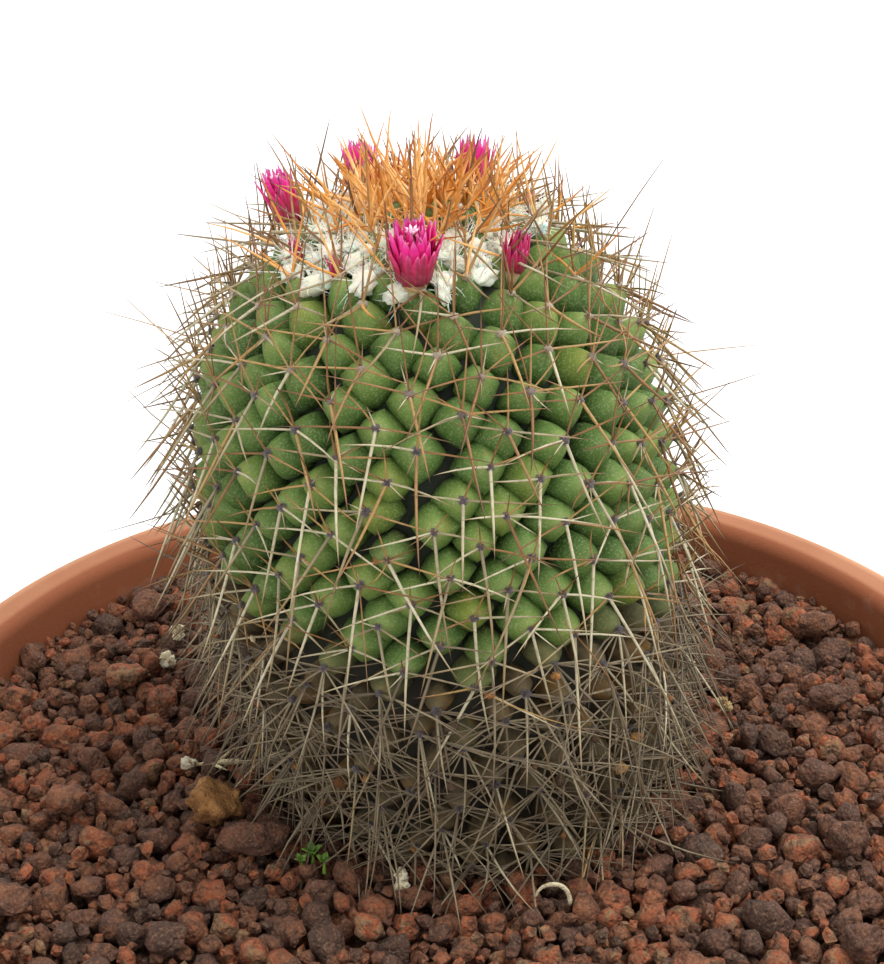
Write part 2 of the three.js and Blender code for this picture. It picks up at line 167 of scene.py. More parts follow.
# %% [markdown]
# Two effects are used by more than one material, so each is a node group. "mottle" is soft
# patchy variation, for dust, dirt and uneven colour. "pores" is the height of a surface that is
# eaten by small round holes over rougher grain, as fired clay and lava both are.

# %% Shared node groups
def new_group(name, inputs, outputs):
    group = bpy.data.node_groups.new(name, "ShaderNodeTree")
    for label, value in inputs.items():
        socket = group.interface.new_socket(label, in_out="INPUT", socket_type="NodeSocketFloat")
        socket.default_value = value
    for label in outputs:
        group.interface.new_socket(label, in_out="OUTPUT", socket_type="NodeSocketFloat")
    return group, group.nodes.new("NodeGroupInput").outputs, group.nodes.new("NodeGroupOutput").inputs


def mottle_group():
    group, given, wanted = new_group("mottle", {"Scale": 50.0, "Low": 0.4, "High": 0.6}, ["Mask"])
    place = on_object(group)
    patches = put(group, "TexNoise", {"Vector": place, "Scale": given["Scale"], "Detail": 5.0,
                                      "Roughness": 0.6})
    mask = spread(group, patches.outputs["Fac"], given["Low"], given["High"])
    group.links.new(mask, wanted["Mask"])
    return group


def pores_group():
    group, given, wanted = new_group("pores", {"Scale": 600.0, "Hole share": 0.35}, ["Height"])
    place = on_object(group)
    cells = put(group, "TexVoronoi", {"Vector": place, "Scale": given["Scale"], "Randomness": 1.0})
    holes = spread(group, cells.outputs["Distance"], 0.0, given["Hole share"])
    grain = put(group, "TexNoise", {"Vector": place, "Scale": given["Scale"], "Detail": 6.0,
                                    "Roughness": 0.65})
    group.links.new(times(group, holes, grain.outputs["Fac"]), wanted["Height"])
    return group


MOTTLE = mottle_group()
PORES = pores_group()


def mottle(tree, scale, low=0.4, high=0.6):
    made = put(tree, "Group", node_tree=MOTTLE)
    for name, value in (("Scale", scale), ("Low", low), ("High", high)):
        made.inputs[name].default_value = value
    return made.outputs["Mask"]


def pores(tree, scale, hole_share):
    made = put(tree, "Group", node_tree=PORES)
    made.inputs["Scale"].default_value = scale
    made.inputs["Hole share"].default_value = hole_share
    return made.outputs["Height"]


print("node groups", MOTTLE.name, PORES.name)

# %% [markdown]
# Pieces are made two ways. A single shape is a bmesh, which `finished` turns into an object that
# rides on the body and stands for its CAD nodes. A crowd of like shapes, such as stones or
# spines, starts from a few small master shapes. `crowd` copies a master to each place, and gives
# each copy its own numbers, such as its tone, that the material reads.

# %% Helpers for pieces
def finished(name, mesh, material, slot, *nodes):
    mesh.materials.append(material)
    piece = bpy.data.objects.new(name, mesh)
    bpy.context.scene.collection.objects.link(piece)
    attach(piece, "root")
    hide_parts(*nodes)
    print(f"{name}: {len(mesh.polygons)} faces")


def mesh_of(bm, name, smooth=True):
    for face in bm.faces:
        face.smooth = smooth
    mesh = bpy.data.meshes.new(name)
    bm.to_mesh(mesh)
    bm.free()
    return mesh


def set_attribute(mesh, name, values):
    layer = mesh.attributes.new(name, "FLOAT", "POINT")
    layer.data.foreach_set("value", np.asarray(values, np.float32))


def read_points(mesh):
    points = np.empty(len(mesh.vertices) * 3, np.float32)
    mesh.vertices.foreach_get("co", points)
    return points.reshape(-1, 3)


def crowd(name, masters, copies, per_copy=(), smooth=True):
    """Each copy is (master's number, 4x4 matrix, {attribute: value})."""
    points, corners, sizes, layers = [], [], [], {key: [] for key in per_copy}
    own = [a.name for a in masters[0].attributes if a.data_type == "FLOAT" and a.domain == "POINT"]
    layers.update({key: [] for key in own})
    parts = []
    for master in masters:
        loops = np.empty(len(master.loops), np.int32)
        master.loops.foreach_get("vertex_index", loops)
        totals = np.empty(len(master.polygons), np.int32)
        master.polygons.foreach_get("loop_total", totals)
        values = {}
        for key in own:
            values[key] = np.empty(len(master.vertices), np.float32)
            master.attributes[key].data.foreach_get("value", values[key])
        parts.append((read_points(master), loops, totals, values))
    used = 0
    for number, matrix, numbers in copies:
        own_points, loops, totals, values = parts[number]
        m = np.array(matrix, np.float32)
        points.append(own_points @ m[:3, :3].T + m[:3, 3])
        corners.append(loops + used)
        sizes.append(totals)
        used += len(own_points)
        for key in own:
            layers[key].append(values[key])
        for key in per_copy:
            layers[key].append(np.full(len(own_points), numbers[key], np.float32))
    points, corners, sizes = (np.concatenate(x) for x in (points, corners, sizes))
    mesh = bpy.data.meshes.new(name)
    mesh.vertices.add(len(points))
    mesh.vertices.foreach_set("co", points.ravel())
    mesh.loops.add(len(corners))
    mesh.loops.foreach_set("vertex_index", corners)
    mesh.polygons.add(len(sizes))
    mesh.polygons.foreach_set("loop_start", np.concatenate([[0], np.cumsum(sizes)[:-1]]))
    mesh.polygons.foreach_set("use_smooth", np.full(len(sizes), smooth))
    mesh.update(calc_edges=True)
    for key, values in layers.items():
        set_attribute(mesh, key, np.concatenate(values))
    return mesh


def frame_matrix(origin, along, side=None, scale=(1, 1, 1)):
    """Puts a master's +Z along a direction, and its +X towards a side."""
    z = Vector(along).normalized()
    rough = Vector(side) if side is not None else z.orthogonal()
    y = z.cross(rough).normalized()
    x = y.cross(z)
    turn = Matrix((x, y, z)).transposed().to_4x4()
    return Matrix.Translation(origin) @ turn @ Matrix.Diagonal((*scale, 1))


def lathe(outline, segments, closed_on_axis=True):
    """A solid turned about Z from (radius, height) points, listed from the foot upwards."""
    bm = bmesh.new()
    points = [bm.verts.new((r, 0, z)) for r, z in outline]
    edges = [bm.edges.new(pair) for pair in zip(points, points[1:])]
    if not closed_on_axis:
        edges.append(bm.edges.new((points[-1], points[0])))
    bmesh.ops.spin(bm, geom=points + edges, axis=(0, 0, 1), cent=(0, 0, 0), steps=segments,
                   angle=2 * math.pi, use_merge=True)
    bmesh.ops.remove_doubles(bm, verts=bm.verts, dist=1e-6)
    bmesh.ops.recalc_face_normals(bm, faces=bm.faces)
    return bm

# %% [markdown]
# ## The clay bowl
# A wide thrown bowl with a thick rounded lip. It is turned in one spin from its wall's section,
# as a potter would draw it. The lip and the foot are arcs, so that light rolls over them. Slow
# noise moves the clay by a few tenths of a millimetre, because a hand-finished rim is never a
# true circle.

# %% Bowl: size
WALL = 9 * MM
FLOOR = 10 * MM
FOOT_RADIUS = 86 * MM
RECESS_RADIUS = 66 * MM
RECESS_DEPTH = 3 * MM
DRAIN_RADIUS = 11 * MM
LIP_HEIGHT = 17 * MM
LIP_PROUD = 3 * MM
LIP_ROUND = 3.5 * MM
LIP_INNER_ROUND = 4 * MM
EDGE_ROUND = 2 * MM
BOWL_SEGMENTS = 192
WALL_STEPS = 14


def outer_radius(z):
    rise = min(z / RIM_Z, 1)
    top = RIM_RADIUS - LIP_PROUD
    return FOOT_RADIUS + (top - FOOT_RADIUS) * math.sin(rise * math.pi / 2) ** 0.9


def arc(centre, radius, start, end, steps):
    """Points of an arc in the wall's section, from one angle to another, in degrees."""
    turns = [math.radians(start + (end - start) * i / steps) for i in range(steps + 1)]
    return [(centre[0] + radius * math.cos(a), centre[1] + radius * math.sin(a)) for a in turns]


# %% Bowl: section and spin
lip_foot = RIM_Z - LIP_HEIGHT
lip_inside = outer_radius(RIM_Z) - WALL
section = [(RECESS_RADIUS, 0.0), (FOOT_RADIUS - EDGE_ROUND, 0.0)]
section += arc((FOOT_RADIUS - EDGE_ROUND, EDGE_ROUND), EDGE_ROUND, -60, -10, 3)
section += [(outer_radius(z), z) for z in np.linspace(6 * MM, lip_foot - 3 * MM, WALL_STEPS)]
section += arc((RIM_RADIUS - EDGE_ROUND, lip_foot + 1 * MM), EDGE_ROUND, -80, 0, 4)
section += arc((RIM_RADIUS - LIP_ROUND, RIM_Z - LIP_ROUND), LIP_ROUND, 0, 90, 8)
section += arc((lip_inside + LIP_INNER_ROUND, RIM_Z - LIP_INNER_ROUND), LIP_INNER_ROUND, 95, 180, 8)
section += [(outer_radius(z) - WALL, z) for z in np.linspace(RIM_Z - 8 * MM, FLOOR + 6 * MM, WALL_STEPS)]
section += [(outer_radius(FLOOR) - WALL - 6 * MM, FLOOR + 0.5 * MM)]
section += [(r, FLOOR) for r in np.linspace(60 * MM, DRAIN_RADIUS + 1 * MM, 5)]
section += [(DRAIN_RADIUS, FLOOR - 1 * MM), (DRAIN_RADIUS, RECESS_DEPTH + 1 * MM)]
section += [(r, RECESS_DEPTH) for r in np.linspace(DRAIN_RADIUS + 1 * MM, RECESS_RADIUS - 4 * MM, 5)]
bowl = lathe(section, BOWL_SEGMENTS, closed_on_axis=False)
for vert in bowl.verts:
    wander = noise.noise(vert.co * 9.0) * 0.45 * MM + noise.noise(vert.co * 45.0) * 0.12 * MM
    outward = Vector((vert.co.x, vert.co.y, 0)).normalized()
    vert.co += outward * wander if vert.co.z > 4 * MM else Vector()

# %% [markdown]
# Unglazed clay is never one colour. The body is orange brown with soft patches, and lime from hard
# water leaves a pale bloom here and there. The top of the lip is painted lighter in patches, a
# painted highlight, and the inside below the rim is painted darker, a painted shade. Height above
# the foot drives the last two, and distance from the axis keeps the painted shade inside.

# %% Bowl: terracotta
def terracotta():
    material, tree, shader = new_material("terracotta", Roughness=0.86)
    body = blend_colours(tree, mottle(tree, 14, 0.35, 0.7), linear("8a4c2d"), linear("9c5b38"))
    body = tinted(tree, body, mottle(tree, 120, 0.5, 0.75), "7a4227")
    height = height_on_object(tree)
    # Painted highlight: the top of the lip is painted lighter, in patches.
    on_lip = spread(tree, height, RIM_Z - 2 * MM, RIM_Z - 0.3 * MM)
    body = tinted(tree, body, on_lip, "cb966f", spread(tree, mottle(tree, 30, 0.25, 0.6), 0, 1, 0.5, 1))
    # Painted shade: the inner wall below the rim is painted darker.
    inside = spread(tree, radius_from_axis(tree), RIM_RADIUS - 2 * MM, RIM_RADIUS - 5 * MM)
    below_rim = spread(tree, height, RIM_Z + 0.8 * MM, RIM_Z - 0.4 * MM)
    body = tinted(tree, body, below_rim, "8a4c2b", inside)
    body = tinted(tree, body, mottle(tree, 55, 0.58, 0.8), "cfae96", 0.3)
    paint(tree, shader, body)
    bump(tree, shader, pores(tree, 900, 0.3), 0.25 * MM, 0.5)
    return material


TERRACOTTA = terracotta()
finished("bowl", mesh_of(bowl, "bowl"), TERRACOTTA, "terracotta", "clay_bowl")

# %% [markdown]
# ## The potting mix
# Only the drain hole shows it, so its CAD solid stays, with a dark gritty finish of its own.

# %% Potting mix
def potting_mix():
    material, tree, shader = new_material("potting_mix", Roughness=0.95)
    body = blend_colours(tree, mottle(tree, 260), linear("2c2018"), linear("54402f"))
    body = tinted(tree, body, mottle(tree, 420, 0.66, 0.7), "9b8767")
    paint(tree, shader, body)
    bump(tree, shader, pores(tree, 420, 0.5), 1.2 * MM)
    return material


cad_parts["potting_mix"].material_slots[0].material = potting_mix()

# %% [markdown]
# ## The stem's outline
# The tips of the tubercles all lie on one smooth barrel, so the barrel comes first: a rounded
# square above the widest place, and a slow taper below it. Its centre line leans to one side.
# Tubercles are laid on it in the order that the plant makes them. Each new one stands a golden
# angle round from the last, and takes a patch of the barrel's surface: a small one at the crown,
# where they are young, and a full one from the shoulder down.

# %% Stem: size
STEM_RADIUS = 54.5 * MM
STEM_HEIGHT = 138 * MM
STEM_WIDEST = 68 * MM
STEM_BASE_RADIUS = 45 * MM
STEM_FOOT_X = 6 * MM
STEM_LEAN = 11 * MM
STEM_BURIED = 10 * MM
CELL = 98 * MM * MM
YOUNG_CELL_SHARE = 0.22
GROWING_LENGTH = 45 * MM
CROWN_POWER = 2.5
TAPER_POWER = 1.7


def stem_centre_x(z):
    rest = 1 - max(z, 0) / STEM_HEIGHT
    return STEM_FOOT_X - STEM_LEAN * (1 - rest * rest)


def barrel_outline(steps=240):
    points = []
    for i in range(steps + 1):
        angle = math.pi / 2 * (1 - i / steps)
        across = math.cos(angle) ** (2 / CROWN_POWER)
        along = max(math.sin(angle), 0) ** (2 / CROWN_POWER)
        points.append((STEM_RADIUS * across, STEM_WIDEST + (STEM_HEIGHT - STEM_WIDEST) * along))
    for i in range(1, steps + 1):
        z = STEM_WIDEST - (STEM_WIDEST + STEM_BURIED) * i / steps
        share = ((STEM_WIDEST - z) / STEM_WIDEST) ** TAPER_POWER
        points.append((STEM_RADIUS - (STEM_RADIUS - STEM_BASE_RADIUS) * share, z))
    return points


# %% Stem: where each tubercle stands
def walk_barrel():
    """At each step down the outline: tubercle number reached, radius, height and size."""
    outline = barrel_outline()
    steps = [(0.0, *outline[0], math.sqrt(YOUNG_CELL_SHARE))]
    walked = 0.0
    for (r0, z0), (r1, z1) in zip(outline, outline[1:]):
        step = math.hypot(r1 - r0, z1 - z0)
        walked += step
        grown = min(walked / GROWING_LENGTH, 1)
        share = YOUNG_CELL_SHARE + (1 - YOUNG_CELL_SHARE) * grown * grown * (3 - 2 * grown)
        number = steps[-1][0] + math.pi * (r0 + r1) * step / (CELL * share)
        steps.append((number, r1, z1, math.sqrt(share)))
    return np.array(steps)


WALK = walk_barrel()


def on_barrel(number):
    """A tubercle's radius, height, size, and outward direction in the outline's plane."""
    i = int(np.clip(np.searchsorted(WALK[:, 0], number), 1, len(WALK) - 1))
    share = (number - WALK[i - 1, 0]) / (WALK[i, 0] - WALK[i - 1, 0])
    radius, height, size = WALK[i - 1, 1:] + (WALK[i, 1:] - WALK[i - 1, 1:]) * share
    run, fall = WALK[i, 1] - WALK[i - 1, 1], WALK[i - 1, 2] - WALK[i, 2]
    out = Vector((fall, run)).normalized()
    return radius, height, size, out


random = np.random.default_rng(7)


class Tubercle:
    """One tubercle: where its tip is, and which way it points."""

    def __init__(self, number):
        radius, height, self.size, out = on_barrel(number)
        self.angle = -number * GOLDEN_ANGLE + random.normal(0, 0.02)
        radial = Vector((math.cos(self.angle), math.sin(self.angle), 0))
        self.height = height
        self.radius = radius
        self.normal = (radial * out[0] + UP * out[1]).normalized()
        self.side = UP.cross(radial).normalized()
        self.up = self.normal.cross(self.side).normalized()
        sink = abs(random.normal(0, 0.5)) * MM
        centre = Vector((stem_centre_x(height), 0, GRAVEL_Z + height))
        self.tip = centre + radial * radius - self.normal * sink
        lift = 0.12 + random.normal(0, 0.05)
        self.along = (self.normal + self.up * lift + self.side * random.normal(0, 0.05)).normalized()


LAST = int(WALK[-1, 0])
tubercles = [Tubercle(number + 0.5) for number in range(LAST)]
print(len(tubercles), "tubercles")

# %% [markdown]
# The lowest third of the plant is old. Its tubercles have died back to grey-brown husks, and the
# change from green is ragged. `age_at` gives that: 0 is fresh green and 1 is dead. The right side
# kept some yellowing life further down, so the border dips there.

# %% Stem: age
GREEN_ABOVE = 58 * MM
BORDER = 12 * MM


def age_at(height, angle):
    dip = 5 * MM * max(0, math.cos(angle + 0.35)) + 4 * MM * math.sin(3 * angle + 1)
    return float(np.clip((GREEN_ABOVE - dip - height) / BORDER + 0.5, 0, 1))


for tubercle in tubercles:
    tubercle.age = float(np.clip(age_at(tubercle.height, tubercle.angle) + random.normal(0, 0.12), 0, 1))

# %% [markdown]
# ## The core
# Between the tubercles you look down dark grooves onto the stem's own skin. It is the same
# barrel, turned a groove's depth smaller, closed at the crown and at the root. The neck goes on
# down into the potting mix. Every ring is shifted to follow the lean.

# %% Core
GROOVE = 9.5 * MM
NECK_DEPTH = 33 * MM
NECK_RADIUS = 13 * MM
NECK_END_RADIUS = 8 * MM
CORE_TOP = STEM_HEIGHT - 7 * MM


def core_radius(radius, size):
    return max(radius - GROOVE * size, 0.8 * MM)


def build_core():
    steps = WALK[::16]
    outline = [(0.0, -NECK_DEPTH), (NECK_END_RADIUS, 1 * MM - NECK_DEPTH), (NECK_RADIUS, -0.7 * NECK_DEPTH)]
    outline += [(core_radius(r, s), z) for _, r, z, s in steps[::-1] if r > 6 * MM]
    outline = [(r, min(z, CORE_TOP)) for r, z in outline]
    outline.append((0.0, CORE_TOP - 0.5 * MM))
    bm = lathe(outline, 64)
    for vert in bm.verts:
        vert.co.x += stem_centre_x(vert.co.z)
        vert.co.z += GRAVEL_Z
        vert.co += vert.co.normalized() * noise.noise(vert.co * 150) * 0.8 * MM
    return bm


core_mesh = mesh_of(build_core(), "stem_core")

# %% [markdown]
# ## The tubercles
# A tubercle is a fleshy finger, a little wider than tall, widest half-way along and blunt at its
# end, with four soft edges where its neighbours press on it and a fuller belly below. A ball of
# about a hundred faces is drawn out into that shape, and eight varied ones are enough: turned and
# sized differently, nobody finds the repeats. Dead ones are the same shape, only shrunken.

# %% Tubercle masters
RINGS = 8
ROUND = 12
TUBERCLE_LENGTH = 14.5 * MM
TUBERCLE_WIDTH = 10.2 * MM
TUBERCLE_TALL = 9.2 * MM


def swell(t):
    """Half-width along a tubercle, from its foot at 0 to its tip at 1."""
    if t < 0.5:
        return 0.72 + 0.28 * math.sin(math.pi * t)
    return max(1 - ((t - 0.5) / 0.5) ** 1.6, 0) ** 0.82


def tubercle_master(seed):
    draw = np.random.default_rng(seed)
    bm = bmesh.new()
    bmesh.ops.create_uvsphere(bm, u_segments=ROUND, v_segments=RINGS, radius=1)
    drift = Vector(draw.uniform(-9, 9, 3))
    along = []
    for vert in bm.verts:
        t = 0.5 + math.asin(max(-1, min(1, vert.co.z))) / math.pi
        turn = math.atan2(vert.co.y, vert.co.x)
        four = 1 + 0.085 * math.cos(4 * turn)
        width = swell(t) if 0 < t < 1 else 0
        width = width * min(1, t / 0.04) if t < 0.04 else width
        belly = 1 + 0.16 * max(0, -math.cos(turn)) * math.sin(math.pi * t)
        uneven = 1 + 0.05 * noise.noise(vert.co * 1.3 + drift)
        spot = Vector((math.cos(turn) * width * four * belly, math.sin(turn) * width * four, 0))
        spot *= 0.5 * uneven
        vert.co = Vector((spot.x * TUBERCLE_TALL, spot.y * TUBERCLE_WIDTH, (t - 1) * TUBERCLE_LENGTH))
        along.append(t)
    mesh = mesh_of(bm, f"tubercle_{seed}")
    set_attribute(mesh, "along", along)
    return mesh


tubercle_masters = [tubercle_master(seed) for seed in range(8)]

# %% Tubercles on the stem
CROWDED_RADIUS = 24 * MM


def tubercle_copies():
    copies = []
    for tubercle in tubercles:
        shrink = 1 - 0.38 * tubercle.age
        crowded = 0.86 if tubercle.radius < CROWDED_RADIUS else 1.0
        size = tubercle.size * crowded * random.normal(1, 0.045)
        scale = (size * shrink * random.normal(1, 0.05), size * shrink, size * (1 - 0.15 * tubercle.age))
        place = frame_matrix(tubercle.tip, tubercle.along, tubercle.up, scale)
        numbers = {"age": tubercle.age, "tone": random.random(), "part": 1.0}
        copies.append((int(random.integers(len(tubercle_masters))), place, numbers))
    return copies


set_attribute(core_mesh, "along", np.zeros(len(core_mesh.vertices)))
core_copy = (len(tubercle_masters), Matrix.Identity(4), {"age": 0.5, "tone": 0.5, "part": 0.0})
stem_mesh = crowd("stem_flesh", tubercle_masters + [core_mesh],
                  [core_copy] + tubercle_copies(), ("age", "tone", "part"))

# %% [markdown]
# The skin is matt and a little waxy. It is a mid green, lighter and yellower towards each tip,
# partly its own colour and partly painted light, and painted nearly black towards each tubercle's
# foot and on the core: painted shade in the grooves. Each tubercle has a tone of its own, and a few
# have a yellow or reddish cheek. Where `age` rises, the green gives way to grey-brown husk with pale
# fibres, which is painted dark at the foot as well.

# %% Stem: flesh
def flesh():
    material, tree, shader = new_material("flesh", Specular_IOR_Level=0.3, Subsurface_Weight=0.06,
                                          Subsurface_Scale=0.003)
    along, age, tone = (attribute(tree, name) for name in ("along", "age", "tone"))
    # The ramp's near-black foot is painted shade in the grooves; its light tip is partly painted light.
    green = ramp(tree, along, (0.0, "1a2013"), (0.34, "26361b"), (0.58, "48682e"),
                 (0.8, "688645"), (0.93, "829656"), (1.0, "98a06c"))
    own = ramp(tree, tone, (0.0, "b5c3a0"), (0.5, "f0f2e0"), (0.9, "fff6d8"), (1.0, "ffe9a8"))
    green = blend_colours(tree, 1.0, green, own, "MULTIPLY")
    green = tinted(tree, green, mottle(tree, 2200, 0.5, 0.62), "aab584", 0.3)
    green = tinted(tree, green, mottle(tree, 70, 0.66, 0.74), "b98a3a", 0.4)
    # The husk ramp's dark foot is painted shade in the grooves.
    husk = ramp(tree, along, (0.0, "2e291e"), (0.5, "4b4230"), (0.85, "6a5d44"), (1.0, "80704f"))
    husk = tinted(tree, husk, mottle(tree, 300, 0.5, 0.7), "7d6a48")
    husk = tinted(tree, husk, mottle(tree, 60, 0.54, 0.68), "85602a")
    turned = spread(tree, age, 0.25, 0.8)
    body = blend_colours(tree, turned, green, husk)
    # The core, seen only down the grooves, is painted near black: painted shade, browner on the dead third.
    border = GRAVEL_Z + GREEN_ABOVE
    living = spread(tree, height_on_object(tree), border - BORDER, border)
    between = blend_colours(tree, living, linear("34322a"), linear("1f2618"))
    body = blend_colours(tree, attribute(tree, "part"), between, body)
    paint(tree, shader, body)
    tree.links.new(spread(tree, age, 0.2, 0.9, 0.6, 0.9), shader.inputs["Roughness"])
    grain = put(tree, "TexNoise", {"Vector": on_object(tree), "Scale": 1100.0, "Detail": 4.0})
    wrinkle = put(tree, "TexNoise", {"Vector": on_object(tree), "Scale": 330.0, "Detail": 3.0})
    deep = times(tree, wrinkle.outputs["Fac"], turned)
    total = put(tree, "Math", {0: deep, 1: 5.0, 2: grain.outputs["Fac"]}, operation="MULTIPLY_ADD")
    bump(tree, shader, total.outputs[0], 0.16 * MM, 0.6)
    return material


FLESH = flesh()
finished("stem_flesh", stem_mesh, FLESH, "flesh", "stem")

# %% [markdown]
# ## Spines
# A spine is a hard needle: a small swollen foot, a long slow taper and a sharp tip, with a slight
# bow. The master is a six-sided ring, extruded and narrowed step by step, one unit long.
# `along` runs from foot to tip, for the colour to follow.

# %% Spine master
SPINE_SIDES = 6
SPINE_STATIONS = [(0.0, 1.25), (0.04, 1.0), (0.3, 0.92), (0.6, 0.72), (0.85, 0.4), (1.0, 0.04)]


def spine_master(name):
    bm = bmesh.new()
    ring = bmesh.ops.create_circle(bm, cap_ends=True, segments=SPINE_SIDES, radius=1)["verts"]
    bmesh.ops.reverse_faces(bm, faces=bm.faces)
    first = SPINE_STATIONS[0][1]
    bmesh.ops.scale(bm, verts=ring, vec=(first, first, 1))
    edges = bm.edges[:]
    places = {v: 0.0 for v in ring}
    for (t0, w0), (t1, w1) in zip(SPINE_STATIONS, SPINE_STATIONS[1:]):
        grown = bmesh.ops.extrude_edge_only(bm, edges=edges)["geom"]
        ring = [g for g in grown if isinstance(g, bmesh.types.BMVert)]
        edges = [g for g in grown if isinstance(g, bmesh.types.BMEdge)]
        bmesh.ops.scale(bm, verts=ring, vec=(w1 / w0, w1 / w0, 1))
        bmesh.ops.translate(bm, verts=ring, vec=(0, 0, t1 - t0))
        places.update({v: t1 for v in ring})
    bmesh.ops.contextual_create(bm, geom=edges)
    bmesh.ops.recalc_face_normals(bm, faces=bm.faces)
    bm.verts.index_update()
    along = [places[v] for v in bm.verts]
    mesh = mesh_of(bm, name)
    set_attribute(mesh, "along", along)
    return mesh

# %% [markdown]
# The master is one unit in radius and in length, so a copy is sized by its matrix: thickness
# across, and reach along. The bow is added afterwards, in the reach's own measure, because a bow
# that was scaled with the thickness would vanish.

# %% Growing spines
SPINE = spine_master("spine")


def spine_copy(root, direction, length, thickness, bend, numbers):
    """One spine from a root point. bend is the side that its tip curves to, and how far."""
    side = bend if bend.length > 1e-6 else direction.orthogonal()
    place = frame_matrix(root, direction, side, (thickness / 2, thickness / 2, length))
    return (0, place, {**numbers, "reach": length, "bend_x": bend.x, "bend_y": bend.y,
                       "bend_z": bend.z})


def spine_mesh(name, copies):
    """The copies in one mesh, each bowed towards its bend by the square of the way along."""
    mesh = crowd(name, [SPINE], copies, ("tone", "reach", "bend_x", "bend_y", "bend_z"))
    layers = {}
    for key in ("along", "reach", "bend_x", "bend_y", "bend_z"):
        layers[key] = np.empty(len(mesh.vertices), np.float32)
        mesh.attributes[key].data.foreach_get("value", layers[key])
    push = layers["along"] ** 2 * layers["reach"]
    bends = np.stack([layers["bend_x"], layers["bend_y"], layers["bend_z"]], axis=1)
    points = read_points(mesh) + bends * push[:, None]
    mesh.vertices.foreach_set("co", points.ravel())
    for key in ("reach", "bend_x", "bend_y", "bend_z"):
        mesh.attributes.remove(mesh.attributes[key])
    mesh.update()
    return mesh

# %% [markdown]
# Each areole carries one long central spine that points down and outwards, two side spines, one
# that points up, and a few short ones. On the dead third they droop and cross in a grey tangle
# that reaches out over the gravel. Round the crown they are young: thick, golden and spreading.
# Four lists gather them, one for each colour of horn, and each list becomes a piece. Lengths and
# thicknesses vary round a typical one, and the right side and the shoulder keep more russet.

# %% Spines of one areole
golden, russet, tan, grey = [], [], [], []
LOWEST_TIP = GRAVEL_Z + 2 * MM
SHOULDER = 92 * MM
SHOULDER_DEPTH = 25 * MM
CROWN_RADIUS = 22 * MM


def jitter(amount):
    return Vector(random.normal(0, amount, 3))


def grow(copies, tubercle, direction, length, thickness, droop, waver=0.09, bow=0.06):
    """Adds a spine at a tubercle's tip, turned up where it would go into the gravel."""
    direction = (direction.normalized() + jitter(waver)).normalized()
    root = tubercle.tip - tubercle.along * 0.3 * MM
    room = max(root.z - LOWEST_TIP, 0)
    if direction.z * length < -room:
        direction.z = -room / length
        direction.normalize()
        droop = 0
    sag = -UP * droop + jitter(bow)
    copies.append(spine_copy(root, direction, length, thickness, sag, {"tone": random.random()}))


def by_colour(tubercle, russet_share):
    """Russet or tan, and some grey among the tan ones low on the stem."""
    if random.random() < russet_share:
        return russet
    weathered = 0.45 * max(0, 1 - tubercle.height / STEM_WIDEST)
    return grey if random.random() < weathered else tan


def living_spines(tubercle):
    normal, up, side = tubercle.normal, tubercle.up, tubercle.side
    right = max(0, math.cos(tubercle.angle))
    shoulder = float(np.clip((tubercle.height - SHOULDER) / SHOULDER_DEPTH, 0, 1))
    low = min(1, 0.5 + tubercle.height / (70 * MM))
    main = normal * random.uniform(0.3, 0.48) - up + side * random.normal(0, 0.24)
    reach = random.uniform(21, 30) * MM * low * (1 - 0.25 * shoulder)
    copies = by_colour(tubercle, 0.12 + 0.3 * right + 0.35 * shoulder)
    grow(copies, tubercle, main, reach, 0.72 * MM, -0.02)
    for hand in (-1, 1):
        aside = side * hand + normal * 0.42 + up * random.uniform(-0.28, 0.22)
        reach = random.uniform(12, 21) * MM * low
        copies = by_colour(tubercle, 0.3 + 0.35 * right + 0.3 * shoulder)
        grow(copies, tubercle, aside, reach, 0.52 * MM, 0.06)
    if random.random() < 0.9:
        reach = random.uniform(8, 14) * MM + shoulder * random.uniform(2, 8) * MM
        grow(russet, tubercle, up * 0.8 + normal * 0.6, reach, 0.46 * MM, -0.03 - 0.1 * shoulder)
    if random.random() < 0.3 + 0.3 * right + 0.5 * shoulder:
        aside = side * random.choice((-0.6, 0.6)) + up * 0.6 + normal * 0.5
        grow(russet, tubercle, aside, random.uniform(9, 17) * MM, 0.42 * MM, 0.0, 0.12, 0.12)
    if random.random() < 0.55 * shoulder:
        out = up + normal * 0.35 + side * random.normal(0, 0.3)
        grow(russet, tubercle, out, random.uniform(17, 27) * MM, 0.4 * MM, 0.0, 0.12, 0.1)
    if random.random() < 0.16:
        out = normal + up * random.normal(0, 0.5) + side * random.normal(0, 0.4)
        grow(russet, tubercle, out, random.uniform(20, 29) * MM, 0.36 * MM, 0.0, 0.1, 0.1)
    for _ in range(random.integers(1, 3)):
        turn = random.uniform(0, 2 * math.pi)
        out = side * math.cos(turn) + up * math.sin(turn) + normal * 0.55
        grow(tan, tubercle, out, random.uniform(4, 8) * MM, 0.34 * MM, 0.0)


def dead_spines(tubercle):
    normal, up, side = tubercle.normal, tubercle.up, tubercle.side
    for _ in range(3):
        fall = normal * random.uniform(0.15, 0.8) - up * random.uniform(0.5, 1)
        fall += side * random.normal(0, 0.38)
        copies = by_colour(tubercle, 0.14) if random.random() < 0.16 else grey
        grow(copies, tubercle, fall, random.uniform(14, 26) * MM, 0.6 * MM, 0.05, 0.16, 0.12)
    for hand in (-1, 1):
        for _ in range(3):
            aside = side * hand + normal * random.uniform(0.05, 0.5) + up * random.uniform(-0.35, 0.25)
            grow(grey, tubercle, aside, random.uniform(13, 26) * MM, 0.46 * MM, 0.1, 0.12, 0.16)
    for _ in range(2):
        turn = random.uniform(0, 2 * math.pi)
        out = side * math.cos(turn) + up * math.sin(turn) + normal * random.uniform(0.2, 0.9)
        grow(grey, tubercle, out, random.uniform(6, 14) * MM, 0.4 * MM, 0.05, 0.16, 0.14)


